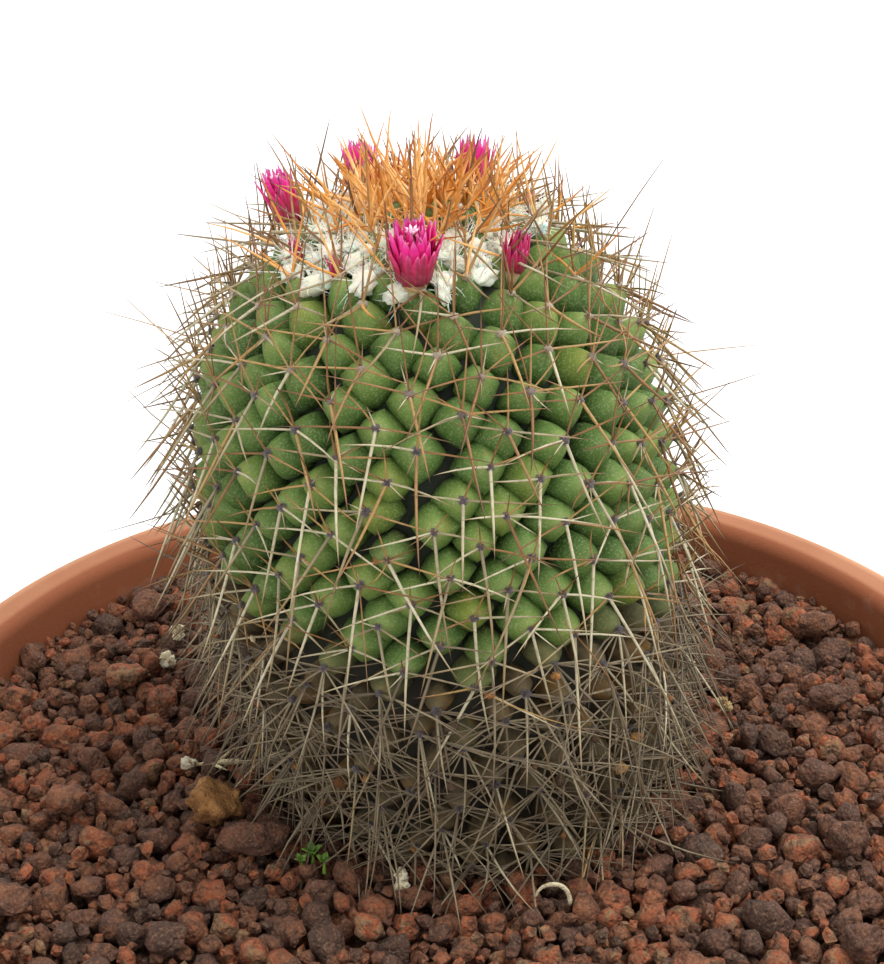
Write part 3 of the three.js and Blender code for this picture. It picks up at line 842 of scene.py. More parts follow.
def young_spines(tubercle):
    outward = Vector((tubercle.tip.x - stem_centre_x(STEM_HEIGHT), tubercle.tip.y, 0)) / CROWN_RADIUS
    for _ in range(6):
        lean = outward * random.uniform(0.1, 1.35) + UP * random.uniform(0.5, 1.0)
        copies = russet if random.random() < 0.05 else golden
        grow(copies, tubercle, lean, random.uniform(9, 17.5) * MM, 0.8 * MM, -0.02, 0.38, 0.16)
    for hand in (-1, 1):
        lean = tubercle.side * hand * 0.9 + UP * 0.6 + outward * 0.5
        grow(golden, tubercle, lean, random.uniform(8, 15) * MM, 0.68 * MM, 0.0, 0.34, 0.16)


def ripening_spines(tubercle):
    """Between the golden crown and the shoulder, spines reach out over the flowers."""
    normal, up, side = tubercle.normal, tubercle.up, tubercle.side
    for hand in (-1, 0, 1):
        lean = normal * 0.9 - up * random.uniform(-0.5, 0.8) + side * hand * random.uniform(0.5, 1)
        copies = golden if random.random() < 0.45 else russet
        grow(copies, tubercle, lean, random.uniform(11, 20) * MM, 0.62 * MM, -0.04, 0.24, 0.12)
    grow(russet, tubercle, up * 0.9 + normal * 0.7, random.uniform(9, 17) * MM, 0.5 * MM, -0.06, 0.2, 0.1)
    grow(tan, tubercle, normal * 0.4 - up, random.uniform(14, 24) * MM, 0.6 * MM, 0.0, 0.14)


# %% Spines of the whole stem
YOUNG_RADIUS = 18.5 * MM
RIPE_RADIUS = 35 * MM
for tubercle in tubercles:
    above = tubercle.height > STEM_WIDEST
    if tubercle.height < 2 * MM:
        continue
    if above and tubercle.radius < YOUNG_RADIUS:
        young_spines(tubercle)
    elif above and tubercle.radius < RIPE_RADIUS:
        ripening_spines(tubercle)
    elif tubercle.age > 0.5:
        dead_spines(tubercle)
    else:
        living_spines(tubercle)
print(len(golden), len(russet), len(tan), len(grey), "spines: golden, russet, tan, grey")

# %% [markdown]
# Horn is hard, streaked and a little glossy. Young spines are golden orange. Older ones bleach to
# a greyish tan with whitish stretches, and stay orange brown towards the tip, which ends dark.
# The dead ones go grey-brown and dull.

# %% Spines: horn
def horn(name, foot, middle, tip, pale, roughness):
    material, tree, shader = new_material(name, Roughness=roughness)
    along, tone = attribute(tree, "along"), attribute(tree, "tone")
    body = ramp(tree, along, (0.0, foot), (0.35, middle), (0.8, tip), (1.0, "2e1c12"))
    other = ramp(tree, along, (0.0, pale), (0.55, pale), (0.85, middle), (1.0, "4a3020"))
    body = blend_colours(tree, spread(tree, tone, 0.3, 0.7), body, other)
    body = tinted(tree, body, mottle(tree, 800, 0.5, 0.65), tip, 0.4)
    paint(tree, shader, body)
    bump(tree, shader, mottle(tree, 2600, 0.3, 0.7), 0.05 * MM, 0.5)
    return material


HORNS = {
    "golden_spines": (golden, horn("golden_horn", "cf8a33", "e19c42", "b5681f", "f3c27c", 0.4)),
    "russet_spines": (russet, horn("russet_horn", "6e4f33", "8a6036", "5c3d20", "a5834f", 0.45)),
    "tan_spines": (tan, horn("tan_horn", "7b715a", "968764", "735a34", "bfb698", 0.5)),
    "grey_spines": (grey, horn("grey_horn", "584d3d", "6c5f4a", "5a4934", "8d7f64", 0.65)),
}
for name, (copies, material) in HORNS.items():
    young = name == "golden_spines"
    finished(name, spine_mesh(name, copies), material, "young_spine" if young else "old_spine",
             "crown_spine_tuft" if young else "stem")

# %% [markdown]
# ## Areoles
# The spines of a tubercle come out of a cushion of short dark felt, about a millimetre and a half
# across. A ball of eighty faces, pushed about by noise, is enough at that size. Young areoles
# near the crown are woolly and pale.

# %% Areoles
AREOLE_WIDTH = 1.9 * MM
WOOLLY_FROM = 108 * MM
WOOLLY_DEPTH = 18 * MM


def lump_master(name, seed, roughness, subdivisions=2):
    draw = np.random.default_rng(seed)
    drift = Vector(draw.uniform(-9, 9, 3))
    bm = bmesh.new()
    bmesh.ops.create_icosphere(bm, subdivisions=subdivisions, radius=0.5)
    for vert in bm.verts:
        vert.co *= 1 + roughness * noise.noise(vert.co * 4 + drift)
    return mesh_of(bm, name)


areole_masters = [lump_master(f"areole_{i}", i, 0.5) for i in range(4)]
areole_copies = []
for tubercle in tubercles:
    width = AREOLE_WIDTH * (0.6 + 0.4 * tubercle.size) * random.uniform(0.85, 1.15)
    middle = tubercle.tip - tubercle.along * 0.25 * MM
    place = frame_matrix(middle, tubercle.along, tubercle.up, (width, width, 0.75 * width))
    woolly = float(np.clip((tubercle.height - WOOLLY_FROM) / WOOLLY_DEPTH, 0, 1))
    areole_copies.append((int(random.integers(4)), place, {"woolly": woolly}))


def felt():
    material, tree, shader = new_material("areole_felt", Roughness=0.95, Sheen_Weight=0.4)
    dark = blend_colours(tree, mottle(tree, 1500), linear("2c2229"), linear("5b4a4c"))
    body = blend_colours(tree, attribute(tree, "woolly"), dark, linear("b9a689"))
    paint(tree, shader, body)
    bump(tree, shader, mottle(tree, 3500, 0.3, 0.7), 0.25 * MM)
    return material


areole_mesh = crowd("areoles", areole_masters, areole_copies, ("woolly",))
finished("areoles", areole_mesh, felt(), "old_spine", "stem")

# %% [markdown]
# ## Flowers and buds
# Each flower is a funnel of narrow pointed petals in whorls round a short fleshy tube. The outer
# petals are short, dull pink and striped with brown, and the inner ones are longer and bright
# magenta. A petal is a small grid, narrowed to its point, bent outwards along its length, cupped
# across, and then given a thin body. Closed buds use the same petals, bent inwards.

# %% Petal master
PETAL_THICKNESS = 0.22 * MM


def petal_outline(t):
    """Half-width of a petal against its widest, from foot to point."""
    if t < 0.55:
        return 0.45 + 0.55 * math.sin(math.pi / 2 * t / 0.55)
    return max(1 - ((t - 0.55) / 0.45) ** 1.5, 0) ** 0.9


def petal_master(name, length, width, start_lean, end_lean, cup, shade, ragged=0.0):
    """A petal that rises from the origin, and leans towards +X from one angle to another."""
    bm = bmesh.new()
    bmesh.ops.create_grid(bm, x_segments=4, y_segments=8, size=0.5)
    along = bm.verts.layers.float.new("along")
    across = bm.verts.layers.float.new("across")
    layer = bm.verts.layers.float.new("shade")
    for vert in bm.verts:
        s, t = 2 * vert.co.x, vert.co.y + 0.5
        steps = [start_lean + (end_lean - start_lean) * (k / 12 * t) ** 1.5 for k in range(12)]
        out = sum(math.sin(a) for a in steps) / 12 * t * length
        up = sum(math.cos(a) for a in steps) / 12 * t * length
        half = petal_outline(t) * width / 2
        vert[along], vert[across], vert[layer] = t, s, shade
        up += ragged * length * (1 - abs(s)) * t * t
        vert.co = Vector((out - cup * s * s * half, s * half, up))
    bmesh.ops.remove_doubles(bm, verts=bm.verts, dist=1e-6)
    bmesh.ops.solidify(bm, geom=bm.faces[:], thickness=PETAL_THICKNESS)
    bmesh.ops.recalc_face_normals(bm, faces=bm.faces)
    return mesh_of(bm, name)


def whorl(master, count, radius, height, turn=0.0):
    """Places of one ring of petals, in the flower's own frame."""
    places = []
    for i in range(count):
        angle = turn + 2 * math.pi * (i + random.normal(0, 0.09)) / count
        spin = Matrix.Rotation(angle, 4, "Z")
        nudge = Matrix.Translation((radius, 0, height * random.uniform(0.92, 1.05)))
        lean = Matrix.Rotation(random.normal(0, 0.07), 4, "Y")
        sized = Matrix.Scale(random.uniform(0.88, 1.08), 4)
        places.append((master, spin @ nudge @ lean @ sized))
    return places

# %% [markdown]
# A flower takes its place, length and width from its CAD node, and leans away from the crown's
# centre as that does. Its tube is turned from a short outline.

# %% Building one flower
CROWN_X = stem_centre_x(STEM_HEIGHT)
FLOWER_LEAN = 0.3
OPEN_FROM = 0.4


def flower_frame(node):
    low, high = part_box(node)
    middle = (low + high) / 2
    outward = Vector((middle.x - CROWN_X, middle.y, 0)).normalized()
    axis = (UP + outward * FLOWER_LEAN).normalized()
    length = high.z - low.z
    width = min(high.x - low.x, high.y - low.y)
    return frame_matrix(middle - axis * length / 2, axis), length, width


def tube_master(name, length, width):
    outline = [(0, 0), (0.16, 0), (0.2, 0.12), (0.27, 0.26), (0.34, 0.4), (0.36, 0.48), (0.3, 0.52),
               (0, 0.53)]
    bm = lathe([(r * width, z * length) for r, z in outline], 16)
    along = bm.verts.layers.float.new("along")
    bm.verts.layers.float.new("across")
    shade = bm.verts.layers.float.new("shade")
    for vert in bm.verts:
        vert[along] = vert.co.z / length
        vert[shade] = -1
    return mesh_of(bm, name)


def build_flower(node, openness, petals):
    place, length, width = flower_frame(node)
    bright = 1.0 if openness > OPEN_FROM else 0.1
    masters = [
        petal_master("outer", 0.5 * length, 0.24 * width, 0.1 + 0.1 * openness,
                     0.9 * openness - 0.3, 0.35, 0.0),
        petal_master("middle", 0.6 * length, 0.2 * width, 0.05,
                     0.7 * openness - 0.28, 0.3, 0.6 * bright, 0.02),
        petal_master("inner", 0.66 * length, 0.16 * width, 0.0,
                     0.42 * openness - 0.25, 0.3, bright, 0.03),
        tube_master("tube", length, width),
    ]
    places = [(3, Matrix.Identity(4))]
    places += whorl(0, petals, 0.33 * width, 0.3 * length)
    places += whorl(1, petals, 0.31 * width, 0.36 * length, 0.3)
    places += whorl(2, petals - 2, 0.24 * width, 0.36 * length, 0.1)
    copies = [(i, place @ m, {"tone": random.random()}) for i, m in places]
    return crowd(node, masters, copies, ("tone",)), place, length, width


# %% Petal colour
def petal_material():
    material, tree, shader = new_material("petal", Roughness=0.55, Specular_IOR_Level=0.3,
                                          Subsurface_Weight=0.15, Subsurface_Scale=0.002)
    along, across, shade, tone = (attribute(tree, n) for n in ("along", "across", "shade", "tone"))
    inner = ramp(tree, along, (0.0, "b40a40"), (0.45, "e01068"), (0.8, "f62c9c"), (1.0, "fd86d2"))
    outer = ramp(tree, along, (0.0, "9a3244"), (0.4, "bd214c"), (0.8, "da2c70"), (1.0, "ee66a2"))
    body = blend_colours(tree, spread(tree, shade, 0.1, 0.6), outer, inner)
    width = put(tree, "Math", {0: across}, operation="ABSOLUTE").outputs[0]
    stripe = spread(tree, width, 0.45, 0.1)
    body = tinted(tree, body, stripe, "6f3238", spread(tree, shade, 0.5, 0.0, 0, 0.6))
    tube = ramp(tree, along, (0.0, "d9cfa8"), (0.2, "c9b98d"), (0.34, "a8404f"), (0.5, "8e2348"))
    body = blend_colours(tree, spread(tree, shade, -0.4, -0.9), body, tube)
    body = tinted(tree, body, mottle(tree, 700, 0.45, 0.7), "f7a8cf", 0.12)
    light = spread(tree, tone, 0, 1, 0.88, 1.0)
    light = put(tree, "CombineColor", {0: light, 1: light, 2: light}).outputs[0]
    body = blend_colours(tree, 1.0, body, light, "MULTIPLY")
    paint(tree, shader, body)
    veins = put(tree, "TexWave", {"Vector": put(tree, "CombineXYZ", {0: across}).outputs[0],
                                  "Scale": 1.6, "Distortion": 0.4})
    bump(tree, shader, veins.outputs["Fac"], 0.12 * MM, 0.5)
    return material


PETAL = petal_material()

# %% [markdown]
# Each flower has its openness, from 0 for a closed bud, and its petals to a whorl. Those that
# are open show their heart: a ring of stamens, each with its anther, round a style with lobes.

# %% Flowers and their hearts
STAMENS = 22
LOBES = 6
FLOWERS = {"flower_front": (0.56, 17), "flower_left": (0.5, 15), "flower_back_left": (0.5, 15),
           "flower_back_right": (0.5, 15), "flower_right": (0.15, 12), "bud_left": (0.0, 8),
           "bud_front_left": (0.0, 8), "bud_back_right": (0.0, 8)}
anther = lump_master("anther", 70, 0.3, 1)
set_attribute(anther, "along", np.ones(len(anther.vertices)))
hearts = []
for node, (openness, petals) in FLOWERS.items():
    mesh, place, length, width = build_flower(node, openness, petals)
    finished(node.replace("flower_", "bloom_").replace("bud_", "closed_bud_"), mesh, PETAL, "petal", node)
    if openness < OPEN_FROM:
        continue
    for i in range(STAMENS):
        angle, lean = 2 * math.pi * i / STAMENS, random.uniform(0.06, 0.24)
        out = Vector((math.cos(angle) * lean, math.sin(angle) * lean, 1)).normalized()
        foot = Vector((math.cos(angle), math.sin(angle), 0)) * 0.12 * width
        foot.z = 0.5 * length
        reach = random.uniform(0.26, 0.36) * length
        stalk = frame_matrix(foot, out, None, (0.14 * MM, 0.14 * MM, reach))
        ball = Matrix.Translation(foot + out * reach * 0.96)
        ball = ball @ Matrix.Diagonal((0.6 * MM, 0.6 * MM, 0.9 * MM, 1))
        hearts += [(0, place @ stalk, {"kind": 0.0}), (1, place @ ball, {"kind": 0.5})]
    style = frame_matrix((0, 0, 0.5 * length), (0, 0, 1), None, (0.32 * MM, 0.32 * MM, 0.42 * length))
    hearts.append((0, place @ style, {"kind": 1.0}))
    for i in range(LOBES):
        angle = 2 * math.pi * i / LOBES
        lobe = Vector((math.cos(angle) * 0.75 * MM, math.sin(angle) * 0.75 * MM, 0.9 * length))
        turn = frame_matrix(lobe, (math.cos(angle) * 0.8, math.sin(angle) * 0.8, 1), None,
                            (0.75 * MM, 0.75 * MM, 1.9 * MM))
        hearts.append((1, place @ turn, {"kind": 1.0}))


def heart_material():
    material, tree, shader = new_material("flower_heart", Roughness=0.6)
    body = ramp(tree, attribute(tree, "kind"), (0.0, "e0478f"), (0.5, "f0cf7a"), (1.0, "f6dfe6"))
    body = tinted(tree, body, mottle(tree, 1200), "f2b5cf")
    paint(tree, shader, body)
    bump(tree, shader, mottle(tree, 4000, 0.3, 0.7), 0.1 * MM, 0.5)
    return material


open_nodes = [node for node, (openness, _) in FLOWERS.items() if openness >= OPEN_FROM]
finished("flower_hearts", crowd("flower_hearts", [SPINE, anther], hearts, ("kind",)), heart_material(),
         "petal", *open_nodes)

# %% [markdown]
# ## Wool
# Round the flowers, the axils between tubercles are packed with white wool. A tuft is a cluster
# of soft lumps sunk between the tubercles, with fine curved hairs standing out of it. The hairs
# break up the outline, which is what tells wool from plaster. It reaches furthest down on the
# front left.

# %% Wool
WOOL_WIDTH = 5.4 * MM
WOOL_FROM = 14 * MM
WOOL_THINS = 24 * MM
WOOL_REACH = 28 * MM
WOOL_LIMIT = 34 * MM
HAIRS = 24
hair_copies, wool_copies = [], []
wool_masters = [lump_master(f"wool_{i}", 80 + i, 0.5, 3) for i in range(4)]
wool_nodes = [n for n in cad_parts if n.startswith("wool_tuft_")]


def add_wool(middle, normal, width):
    turn = frame_matrix(middle, normal, jitter(1), (width, width * random.uniform(0.5, 0.8), width * 0.6))
    wool_copies.append((int(random.integers(4)), turn, {"tone": random.random()}))
    for _ in range(HAIRS):
        out = (normal * random.uniform(0.0, 0.9) + jitter(0.8)).normalized()
        reach = random.uniform(0.4, 0.85) * width
        hair = spine_copy(middle + out * width * 0.22, out, reach, 0.26 * MM, jitter(0.45), {"tone": 0.5})
        hair_copies.append(hair)


for node in wool_nodes:
    low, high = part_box(node)
    for _ in range(3):
        middle = (low + high) / 2 + Vector((*random.normal(0, 2.0, 2), 0)) * MM - UP * 1.8 * MM
        add_wool(middle, UP, WOOL_WIDTH * random.uniform(0.6, 1.0))
for tubercle in tubercles:
    if tubercle.height < STEM_WIDEST or not WOOL_FROM < tubercle.radius < WOOL_LIMIT:
        continue
    front_left = math.cos(tubercle.angle + 2.0)
    if tubercle.radius > WOOL_REACH + 7 * MM * front_left:
        continue
    if tubercle.radius > WOOL_THINS and random.random() > 0.5 + 0.5 * front_left:
        continue
    for hand in (-1, 1):
        sideways = tubercle.side * hand * 4.4 * MM * tubercle.size
        axil = tubercle.tip - tubercle.normal * 2.6 * MM + sideways + tubercle.up * 1.5 * MM
        add_wool(axil, tubercle.normal, WOOL_WIDTH * random.uniform(0.75, 1.15) * (1 + 0.25 * front_left))


def wool_material():
    material, tree, shader = new_material("wool", Roughness=0.95, Sheen_Weight=0.6,
                                          Subsurface_Weight=0.6, Subsurface_Scale=0.003)
    body = blend_colours(tree, mottle(tree, 420, 0.4, 0.7), linear("f7eed9"), linear("fef8e8"))
    body = tinted(tree, body, mottle(tree, 160, 0.66, 0.8), "e8dcc0")
    paint(tree, shader, body)
    bump(tree, shader, mottle(tree, 1500, 0.2, 0.8), 0.3 * MM, 0.5)
    return material


WOOL = wool_material()
finished("wool", crowd("wool", wool_masters, wool_copies, ("tone",)), WOOL, "wool", *wool_nodes)
finished("wool_hairs", spine_mesh("wool_hairs", hair_copies), WOOL, "wool", *wool_nodes)

# %% [markdown]
# ## Lava gravel
# The granules are broken lava: blunt angular lumps, rough all over. A master is a ball of eighty
# faces with random sides ground flat and then roughened. They are laid as they would fall: each
# stone tries a few dozen places, comes down until it rests on what is there, and keeps the
# lowest. That fills the bed as pouring does, with stones that touch and small dark gaps. Chips
# of twenty flat faces follow, and fall into those gaps.

# %% Stone masters
def stone_master(name, seed, subdivisions=2, cuts=9, roughness=0.3):
    draw = np.random.default_rng(seed)
    drift = Vector(draw.uniform(-9, 9, 3))
    bm = bmesh.new()
    bmesh.ops.create_icosphere(bm, subdivisions=subdivisions, radius=0.5)
    for vert in bm.verts:
        vert.co *= 1 + roughness * noise.noise(vert.co * 2.6 + drift)
    for _ in range(cuts):
        side = Vector(draw.normal(0, 1, 3)).normalized()
        depth = draw.uniform(0.28, 0.44)
        for vert in bm.verts:
            over = vert.co.dot(side) - depth
            if over > 0:
                vert.co -= side * over * 0.9
    for vert in bm.verts:
        vert.co *= 1 + roughness * 0.9 * noise.noise(vert.co * 4.5 + drift)
        vert.co *= 1 + roughness * 0.5 * noise.noise(vert.co * 9 - drift)
        if subdivisions > 2:
            vert.co *= 1 + roughness * 0.3 * noise.noise(vert.co * 17 + drift)
    bmesh.ops.recalc_face_normals(bm, faces=bm.faces)
    return mesh_of(bm, name)


stone_masters = [stone_master(f"granule_{i}", 30 + i, 2, 7, 0.36) for i in range(14)]
chip_masters = [stone_master(f"chip_{i}", 50 + i, 1, 3, 0.4) for i in range(10)]

# %% Pouring the stones
BED_FOOT = GRAVEL_Z - 12 * MM
POUR_FROM = 34 * MM
TRIES = 26
MOST_STONES = 2450
MOST_CHIPS = 3000
INNER_WALL = outer_radius(GRAVEL_Z) - WALL
big_names = [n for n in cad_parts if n.startswith("lava_stone_")]
loose_names = ["tan_stone", "long_lava_stone"]
obstacles = []
for node in big_names + loose_names:
    low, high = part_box(node)
    obstacles.append((*((low + high) / 2), min(high - low) / 2))
obstacles = np.array(obstacles)


def pour(draw, count, typical, centres, radii):
    """Adds stones that rest on each other, up to the gravel's level and round the big ones."""
    for _ in range(count):
        radius = typical * float(np.clip(draw.lognormal(0, 0.28), 0.62, 1.75))
        reach = np.sqrt(draw.uniform(POUR_FROM**2, (INNER_WALL - 0.8 * radius) ** 2, TRIES))
        turn = draw.uniform(0, 2 * math.pi, TRIES)
        spots = np.stack([reach * np.cos(turn), reach * np.sin(turn)], axis=1)
        away = np.hypot(spots[:, 0] - STEM_FOOT_X, spots[:, 1])
        spots = spots[away > STEM_BASE_RADIUS - 3 * MM + 0.5 * radius]
        rest = np.full(len(spots), BED_FOOT + radius)
        if len(radii):
            gap = np.linalg.norm(spots[:, None] - centres[None, :, :2], axis=2)
            touch = (radii + radius) * 0.9
            lift = np.where(gap < touch, centres[:, 2] + np.sqrt(np.maximum(touch**2 - gap**2, 0)), 0)
            rest = np.maximum(rest, lift.max(axis=1))
        gap = np.linalg.norm(spots[:, None] - obstacles[None, :, :2], axis=2)
        near = gap < obstacles[:, 3] + 0.3 * radius
        blocked = (near & (rest[:, None] + radius > obstacles[:, 2] - obstacles[:, 3])).any(axis=1)
        rest[blocked] = 1.0
        best = int(rest.argmin())
        if rest[best] + 0.5 * radius > GRAVEL_Z + 2 * MM:
            continue
        centres = np.vstack([centres, [*spots[best], rest[best]]])
        radii = np.append(radii, radius)
    return centres, radii


draw = np.random.default_rng(11)
centres, radii = pour(draw, MOST_STONES, 2.9 * MM, np.empty((0, 3)), np.empty(0))
stones = len(radii)
centres, radii = pour(draw, MOST_CHIPS, 1.35 * MM, centres, radii)
print(len(radii), "stones, the highest centre at", round(float(centres[:, 2].max() / MM), 1), "mm")

# %% Turning the stones
def random_turn():
    axis = Vector(random.normal(0, 1, 3)).normalized()
    return Matrix.Rotation(random.uniform(0, 2 * math.pi), 4, axis)


def stone_copy(centre, radius, masters):
    stretch = Matrix.Diagonal((*(2 * radius * random.uniform(0.78, 1.36, 3)), 1))
    place = Matrix.Translation(centre) @ random_turn() @ stretch
    return (int(random.integers(masters)), place, {"tone": random.random()})


granules = [stone_copy(c, r, len(stone_masters)) for c, r in zip(centres[:stones], radii)]
chips = [stone_copy(c, r, len(chip_masters)) for c, r in zip(centres[stones:], radii[stones:])]
gravel_mesh = crowd("gravel", stone_masters, granules, ("tone",))
chips_mesh = crowd("gravel_chips", chip_masters, chips, ("tone",), smooth=False)

# %% [markdown]
# Lava is brown-red where iron rusted and purple-grey where it didn't, so each stone gets its own
# tone, with patches in it. Fine pores and pale dust cover it.

# %% Gravel: lava
def lava():
    material, tree, shader = new_material("lava", Roughness=0.9)
    own = spread(tree, attribute(tree, "tone"), 0, 1, -0.2, 0.75)
    patchy = put(tree, "Math", {0: mottle(tree, 200, 0.3, 0.7), 1: 0.5, 2: own}, operation="MULTIPLY_ADD")
    body = ramp(tree, patchy.outputs[0], (0.0, "523c2e"), (0.2, "644334"), (0.42, "774c36"),
                (0.62, "875538"), (0.78, "965a3a"), (0.9, "ab5832"), (1.0, "98724f"))
    body = tinted(tree, body, mottle(tree, 420, 0.45, 0.7), "40291d")
    body = tinted(tree, body, mottle(tree, 1500, 0.5, 0.72), "ab876a", 0.5)
    paint(tree, shader, body)
    rough = put(tree, "Math", {0: pores(tree, 330, 0.7), 1: 1.6, 2: pores(tree, 800, 0.55)},
                operation="MULTIPLY_ADD")
    bump(tree, shader, rough.outputs[0], 1.5 * MM, 1.0)
    return material


LAVA = lava()
finished("gravel", gravel_mesh, LAVA, "lava_gravel", "gravel_bed")
finished("gravel_chips", chips_mesh, LAVA, "lava_gravel", "gravel_bed")

# %% [markdown]
# Under the loose stones lies a bed of lava fines. It closes the gaps between the stones, so that
# no one looks through them into the bowl.

# %% Fines
def build_fines():
    top = BED_FOOT + 2.5 * MM
    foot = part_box("gravel_bed")[0].z
    inside = outer_radius(foot) - WALL - 0.4 * MM
    hole = STEM_BASE_RADIUS - 14 * MM
    outline = [(hole, foot), (inside, foot), (inside, top)]
    outline += [(r, top) for r in np.linspace(inside - 3 * MM, hole, 24)]
    bm = lathe(outline, 96, closed_on_axis=False)
    for vert in bm.verts:
        if vert.co.z > top - 0.1 * MM:
            vert.co.z += noise.noise(vert.co * 220) * 1.6 * MM
    return bm


fines_mesh = mesh_of(build_fines(), "gravel_fines")
set_attribute(fines_mesh, "tone", np.full(len(fines_mesh.vertices), 0.3))
finished("gravel_fines", fines_mesh, LAVA, "lava_gravel", "gravel_bed")

# %% [markdown]
# The largest stones lie loose on top, where the CAD model has them. They are near enough to be
# looked at one by one, so their masters have four times as many faces and more ground sides.

# %% Large stones
def boxed_copy(node, masters, grow_by=1.0, tone=None):
    """A copy that fills a CAD node's box."""
    low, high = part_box(node)
    size = (high - low) * grow_by
    place = Matrix.Translation((low + high) / 2) @ Matrix.Diagonal((*size, 1))
    return (int(random.integers(masters)), place, {"tone": random.random() if tone is None else tone})


GROW_LARGE = 1.12
large_masters = [stone_master(f"large_stone_{i}", 60 + i, 3, 10, 0.26) for i in range(8)]


def large_stone(name, node, tone=None):
    mesh = crowd(name, large_masters, [boxed_copy(node, 8, GROW_LARGE, tone)], ("tone",))
    finished(name, mesh, LAVA, "lava_gravel", node)


for node in big_names:
    large_stone(node.replace("lava_stone", "large_granule"), node)
large_stone("long_granule", "long_lava_stone", 0.3)

# %% [markdown]
# ## Loose things on the gravel
# An ochre stone, three pale crumbs, a dry forked flower stalk with its husk, a root end that
# curls out of the bed, a yellow husk and a seedling lie round the stem. Each is small, but the
# eye finds them, because they break the red of the gravel.

# %% Ochre stone
def ochre():
    material, tree, shader = new_material("ochre_stone", Roughness=0.9)
    body = blend_colours(tree, mottle(tree, 180, 0.4, 0.65), linear("805529"), linear("ad7d47"))
    body = tinted(tree, body, mottle(tree, 600, 0.58, 0.7), "5e3a22")
    paint(tree, shader, body)
    bump(tree, shader, pores(tree, 900, 0.4), 0.8 * MM)
    return material


ochre_masters = [stone_master("ochre_stone", 91, 4, 10, 0.3)]
ochre_mesh = crowd("ochre_stone", ochre_masters, [boxed_copy("tan_stone", 1, 1.1)], ("tone",))
finished("ochre_stone", ochre_mesh, ochre(), "tan_stone", "tan_stone")

# %% [markdown]
# Dry plant matter is straw coloured, streaked and a little ragged. The crumbs are clusters of
# small lumps, and the stalk is a fork of tapered tubes with a husk of seven dry leaves.

# %% Dry matter
def straw():
    material, tree, shader = new_material("straw", Roughness=0.85)
    tone = attribute(tree, "tone")
    body = ramp(tree, tone, (0.0, "9c7c48"), (0.4, "c6ab74"), (0.75, "ded0a6"), (1.0, "efe6cc"))
    body = tinted(tree, body, mottle(tree, 500, 0.52, 0.68), "8a6a3c")
    paint(tree, shader, body)
    bump(tree, shader, mottle(tree, 1600, 0.3, 0.7), 0.3 * MM)
    return material


STRAW = straw()
crumb_masters = [lump_master(f"crumb_{i}", 95 + i, 0.8, 3) for i in range(4)]


def crumbs(node, count, tone):
    low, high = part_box(node)
    size = high - low
    copies = []
    for _ in range(count):
        share = Vector(random.uniform(-0.3, 0.3, 3))
        middle = (low + high) / 2 + Vector(a * b for a, b in zip(share, size))
        stretch = Matrix.Diagonal((*(size.x * random.uniform(0.4, 0.75, 3)), 1))
        place = Matrix.Translation(middle) @ random_turn() @ stretch
        copies.append((int(random.integers(4)), place, {"tone": tone * random.uniform(0.8, 1.05)}))
    finished(node.replace("pebble", "crumb").replace("yellow_husk", "papery_husk"),
             crowd(node, crumb_masters, copies, ("tone",)), STRAW, "dry_matter", node)


for number in (1, 2, 3):
    crumbs(f"pale_pebble_{number}", 5, 0.95)
crumbs("yellow_husk", 4, 0.3)

# %% Flower stalk
HUSK_LEAVES = 7
HUSK_LEAF = (1.7 * MM, 1.1 * MM, 3.6 * MM)
low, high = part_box("dry_flower_stalk")
head = Vector((low.x, (low.y + high.y) / 2, (low.z + high.z) / 2))
stalk_copies = []


def twig(start, end, thickness, tone):
    way = end - start
    sag = Vector((0, 0, -0.05))
    stalk_copies.append(spine_copy(start, way.normalized(), way.length, thickness, sag, {"tone": tone}))


end = Vector((high.x, head.y - 1 * MM, head.z + 1 * MM))
fork = head + Vector((7, 0, 0)) * MM
twig(end, head + Vector((2, 0, 0)) * MM, 1.5 * MM, 0.7)
twig(fork, fork + Vector((5, -5, 1.5)) * MM, 1.0 * MM, 0.75)
twig(fork + Vector((2, 0, 0)) * MM, fork + Vector((6, 4, 2)) * MM, 0.9 * MM, 0.6)
finished("dry_stalk", spine_mesh("dry_stalk", stalk_copies), STRAW, "dry_matter", "dry_flower_stalk")
husk_leaves = []
for i in range(HUSK_LEAVES):
    angle = 2 * math.pi * i / HUSK_LEAVES
    out = Vector((-1, 0.35 * math.cos(angle), 0.35 * math.sin(angle)))
    middle = head + Vector((3.4, 0, 0)) * MM + out * 1.2 * MM
    husk_leaves.append((0, frame_matrix(middle, out, None, HUSK_LEAF), {"tone": 0.95}))
husk_mesh = crowd("dry_husk", crumb_masters[:1], husk_leaves, ("tone",))
finished("dry_husk", husk_mesh, STRAW, "dry_matter", "dry_flower_stalk")

# %% [markdown]
# The root end is a small circle spun along an arc, thinning as it goes: the plainest way to draw
# a curl of even bend.

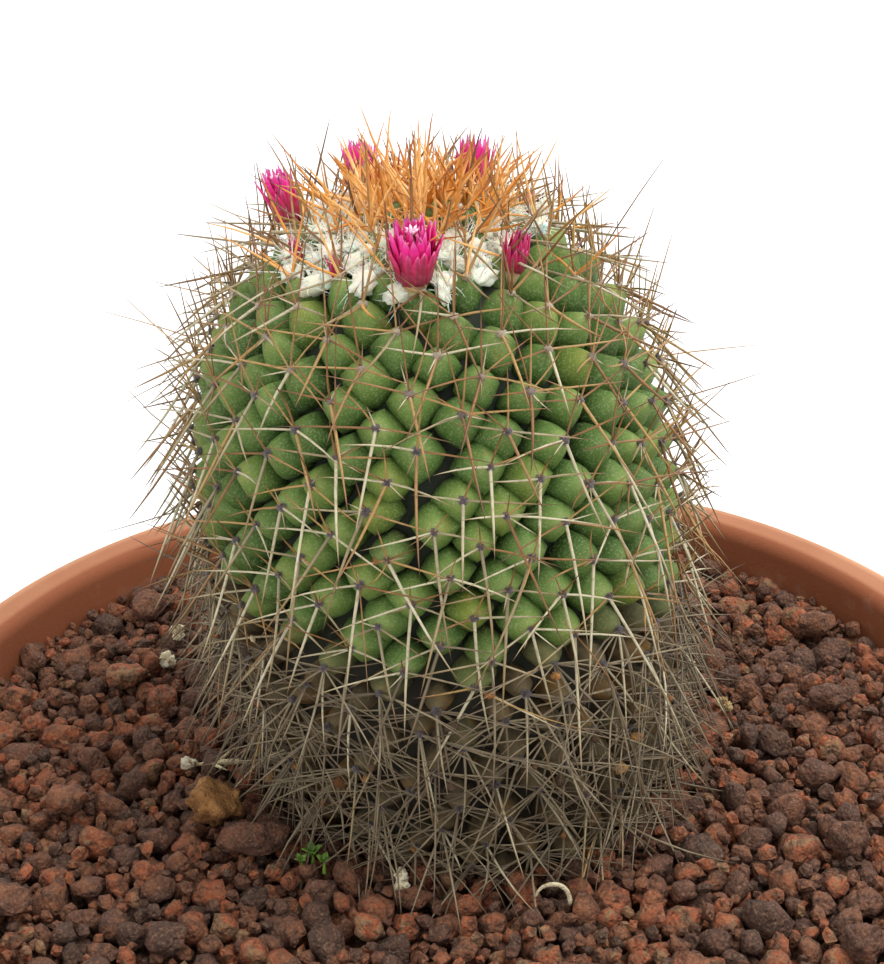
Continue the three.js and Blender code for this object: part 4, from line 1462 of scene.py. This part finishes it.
# %% Root curl
def build_curl():
    low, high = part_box("root_curl")
    reach = (high.x - low.x) / 2 - 0.6 * MM
    bm = bmesh.new()
    ring = bmesh.ops.create_circle(bm, cap_ends=False, segments=8, radius=0.5 * MM)["verts"]
    bmesh.ops.translate(bm, verts=ring, vec=(reach, 0, 0))
    bmesh.ops.spin(bm, geom=ring + bm.edges[:], axis=(0, -1, 0), cent=(0, 0, 0), steps=18,
                   angle=math.radians(160))
    bmesh.ops.holes_fill(bm, edges=[e for e in bm.edges if e.is_boundary])
    for vert in bm.verts:
        turn = math.atan2(vert.co.z, vert.co.x)
        core = Vector((math.cos(turn), 0, math.sin(turn))) * reach
        share = (turn + 0.4) / 3.6
        vert.co = core + (vert.co - core) * (1.1 - 0.6 * max(share, 0))
        vert.co.z *= 1.45
        vert.co.y += 0.3 * MM * math.sin(3 * turn)
    bmesh.ops.recalc_face_normals(bm, faces=bm.faces)
    bmesh.ops.translate(bm, verts=bm.verts, vec=((low.x + high.x) / 2, (low.y + high.y) / 2, low.z))
    return mesh_of(bm, "root_curl")


curl_mesh = build_curl()
set_attribute(curl_mesh, "tone", np.full(len(curl_mesh.vertices), 0.8))
finished("curled_root", curl_mesh, STRAW, "dry_matter", "root_curl")

# %% [markdown]
# The seedling is three sprouts close together. Each has four small blades and a younger one in
# the middle, made as the petals are.

# %% Seedling
def leaf_green():
    material, tree, shader = new_material("leaf", Roughness=0.5, Subsurface_Weight=0.2,
                                          Subsurface_Scale=0.002)
    body = blend_colours(tree, mottle(tree, 400), linear("4c7322"), linear("77983a"))
    paint(tree, shader, body)
    bump(tree, shader, mottle(tree, 1400, 0.3, 0.7), 0.15 * MM, 0.6)
    return material


low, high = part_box("seedling")
sprout = Vector(((low.x + high.x) / 2, (low.y + high.y) / 2, low.z))
blade = petal_master("leaf_blade", 3.4 * MM, 2.1 * MM, 0.5, 1.5, 0.3, 0.5)
young_blade = petal_master("young_blade", 2.0 * MM, 1.2 * MM, 0.2, 0.8, 0.4, 0.5)
leaf_copies, stems = [], []
for x, y, turn, size in ((0, 0, 0.3, 1.0), (2.6, -2.2, 1.2, 0.8), (-2.4, -1.4, 2.2, 0.7)):
    foot = sprout + Vector((x, y, 0)) * MM
    for i in range(5):
        young = 1 if i == 4 else 0
        place = (Matrix.Translation(foot + UP * (2.6 + 0.5 * young) * MM * size)
                 @ Matrix.Rotation(turn + i * math.pi / 2, 4, "Z") @ Matrix.Scale(size, 4))
        leaf_copies.append((young, place, {"tone": 0.5}))
    stems.append(spine_copy(foot - UP * 0.5 * MM, UP, 3.6 * size * MM, 1.1 * MM, Vector((0.05, 0, 0)),
                            {"tone": 0.5}))
LEAF = leaf_green()
leaf_mesh = crowd("seedling_leaves", [blade, young_blade], leaf_copies, ("tone",))
finished("seedling_leaves", leaf_mesh, LEAF, "leaf", "seedling")
finished("seedling_stalks", spine_mesh("seedling_stalks", stems), LEAF, "leaf", "seedling")

# %% [markdown]
# Flower remains, bits of bark and grains of gravel hang in the spines of the dead third, and
# give it its spots of ochre and cream.

# %% Litter in the spines
litter = []
for tubercle in tubercles:
    if tubercle.height < 4 * MM or tubercle.age < 0.3 or random.random() > 0.5:
        continue
    spot = tubercle.tip + tubercle.normal * random.uniform(-1, 5) * MM
    spot = spot + tubercle.side * random.normal(0, 3) * MM
    size = random.uniform(1.5, 4.0) * MM
    stretch = Matrix.Diagonal((size, size * random.uniform(0.5, 1), size * random.uniform(0.35, 0.8), 1))
    place = Matrix.Translation(spot) @ random_turn() @ stretch
    litter.append((int(random.integers(4)), place, {"tone": random.random() ** 2}))


def husks():
    material, tree, shader = new_material("dry_litter", Roughness=0.9)
    body = ramp(tree, attribute(tree, "tone"), (0.0, "4a3a2a"), (0.35, "6b4f33"), (0.6, "a5672e"),
                (0.85, "b98d52"), (1.0, "d9cba6"))
    body = tinted(tree, body, mottle(tree, 700, 0.5, 0.7), "54402c")
    paint(tree, shader, body)
    bump(tree, shader, mottle(tree, 1500, 0.3, 0.7), 0.4 * MM)
    return material


finished("litter", crowd("litter", areole_masters, litter, ("tone",)), husks(), "dry_matter", "stem")

# %% [markdown]
# ## Floor, light and camera
# A plain pale floor and soft light from all sides, as in a product picture. The camera looks down
# on the plant at about 25 degrees from 43 cm, through a long lens.

# %% Floor
def paper():
    material, tree, shader = new_material("paper", Roughness=0.9)
    paint(tree, shader, blend_colours(tree, mottle(tree, 3), linear("f6f5f3"), linear("ffffff")))
    return material


floor_shape = bmesh.new()
bmesh.ops.create_grid(floor_shape, x_segments=1, y_segments=1, size=4)
floor_mesh = mesh_of(floor_shape, "floor")
floor_mesh.materials.append(paper())
floor = bpy.data.objects.new("floor", floor_mesh)
bpy.context.scene.collection.objects.link(floor)

# %% Light
LIT_POINT = Vector((0, 0, 0.15))
world = bpy.data.worlds.new("studio")
bpy.context.scene.world = world
world.use_nodes = True
world.node_tree.nodes["Background"].inputs["Color"].default_value = (1.0, 1.0, 1.0, 1.0)
world.node_tree.nodes["Background"].inputs["Strength"].default_value = 0.9


def soft_light(name, place, size, power):
    """A square lamp, aimed at the middle of the object."""
    lamp = bpy.data.lights.new(name, "AREA")
    lamp.size = size
    lamp.energy = power
    made = bpy.data.objects.new(name, lamp)
    made.location = place
    made.rotation_euler = (LIT_POINT - Vector(place)).to_track_quat("-Z", "Y").to_euler()
    bpy.context.scene.collection.objects.link(made)


soft_light("key", (0.45, -0.15, 1.1), 0.7, 11)
soft_light("fill", (-0.9, -0.9, 0.6), 0.9, 4)
soft_light("back", (0.3, 1.1, 0.8), 0.8, 6)

# %% Camera
TARGET = Vector((-1.8 * MM, 0, GRAVEL_Z + 74 * MM))
DISTANCE = 430 * MM
ELEVATION = math.radians(25.5)
ROLL = math.radians(-1)
lens = bpy.data.cameras.new("camera")
lens.lens = 72.1
lens.sensor_width = 36
lens.clip_start = 0.01
camera = bpy.data.objects.new("camera", lens)
toward = Vector((0, math.cos(ELEVATION), -math.sin(ELEVATION)))
camera.location = TARGET - toward * DISTANCE
level = toward.to_track_quat("-Z", "Y").to_matrix().to_4x4()
camera.rotation_euler = (level @ Matrix.Rotation(ROLL, 4, "Z")).to_euler()
bpy.context.scene.collection.objects.link(camera)
bpy.context.scene.camera = camera
bpy.context.scene.view_settings.view_transform = "Standard"
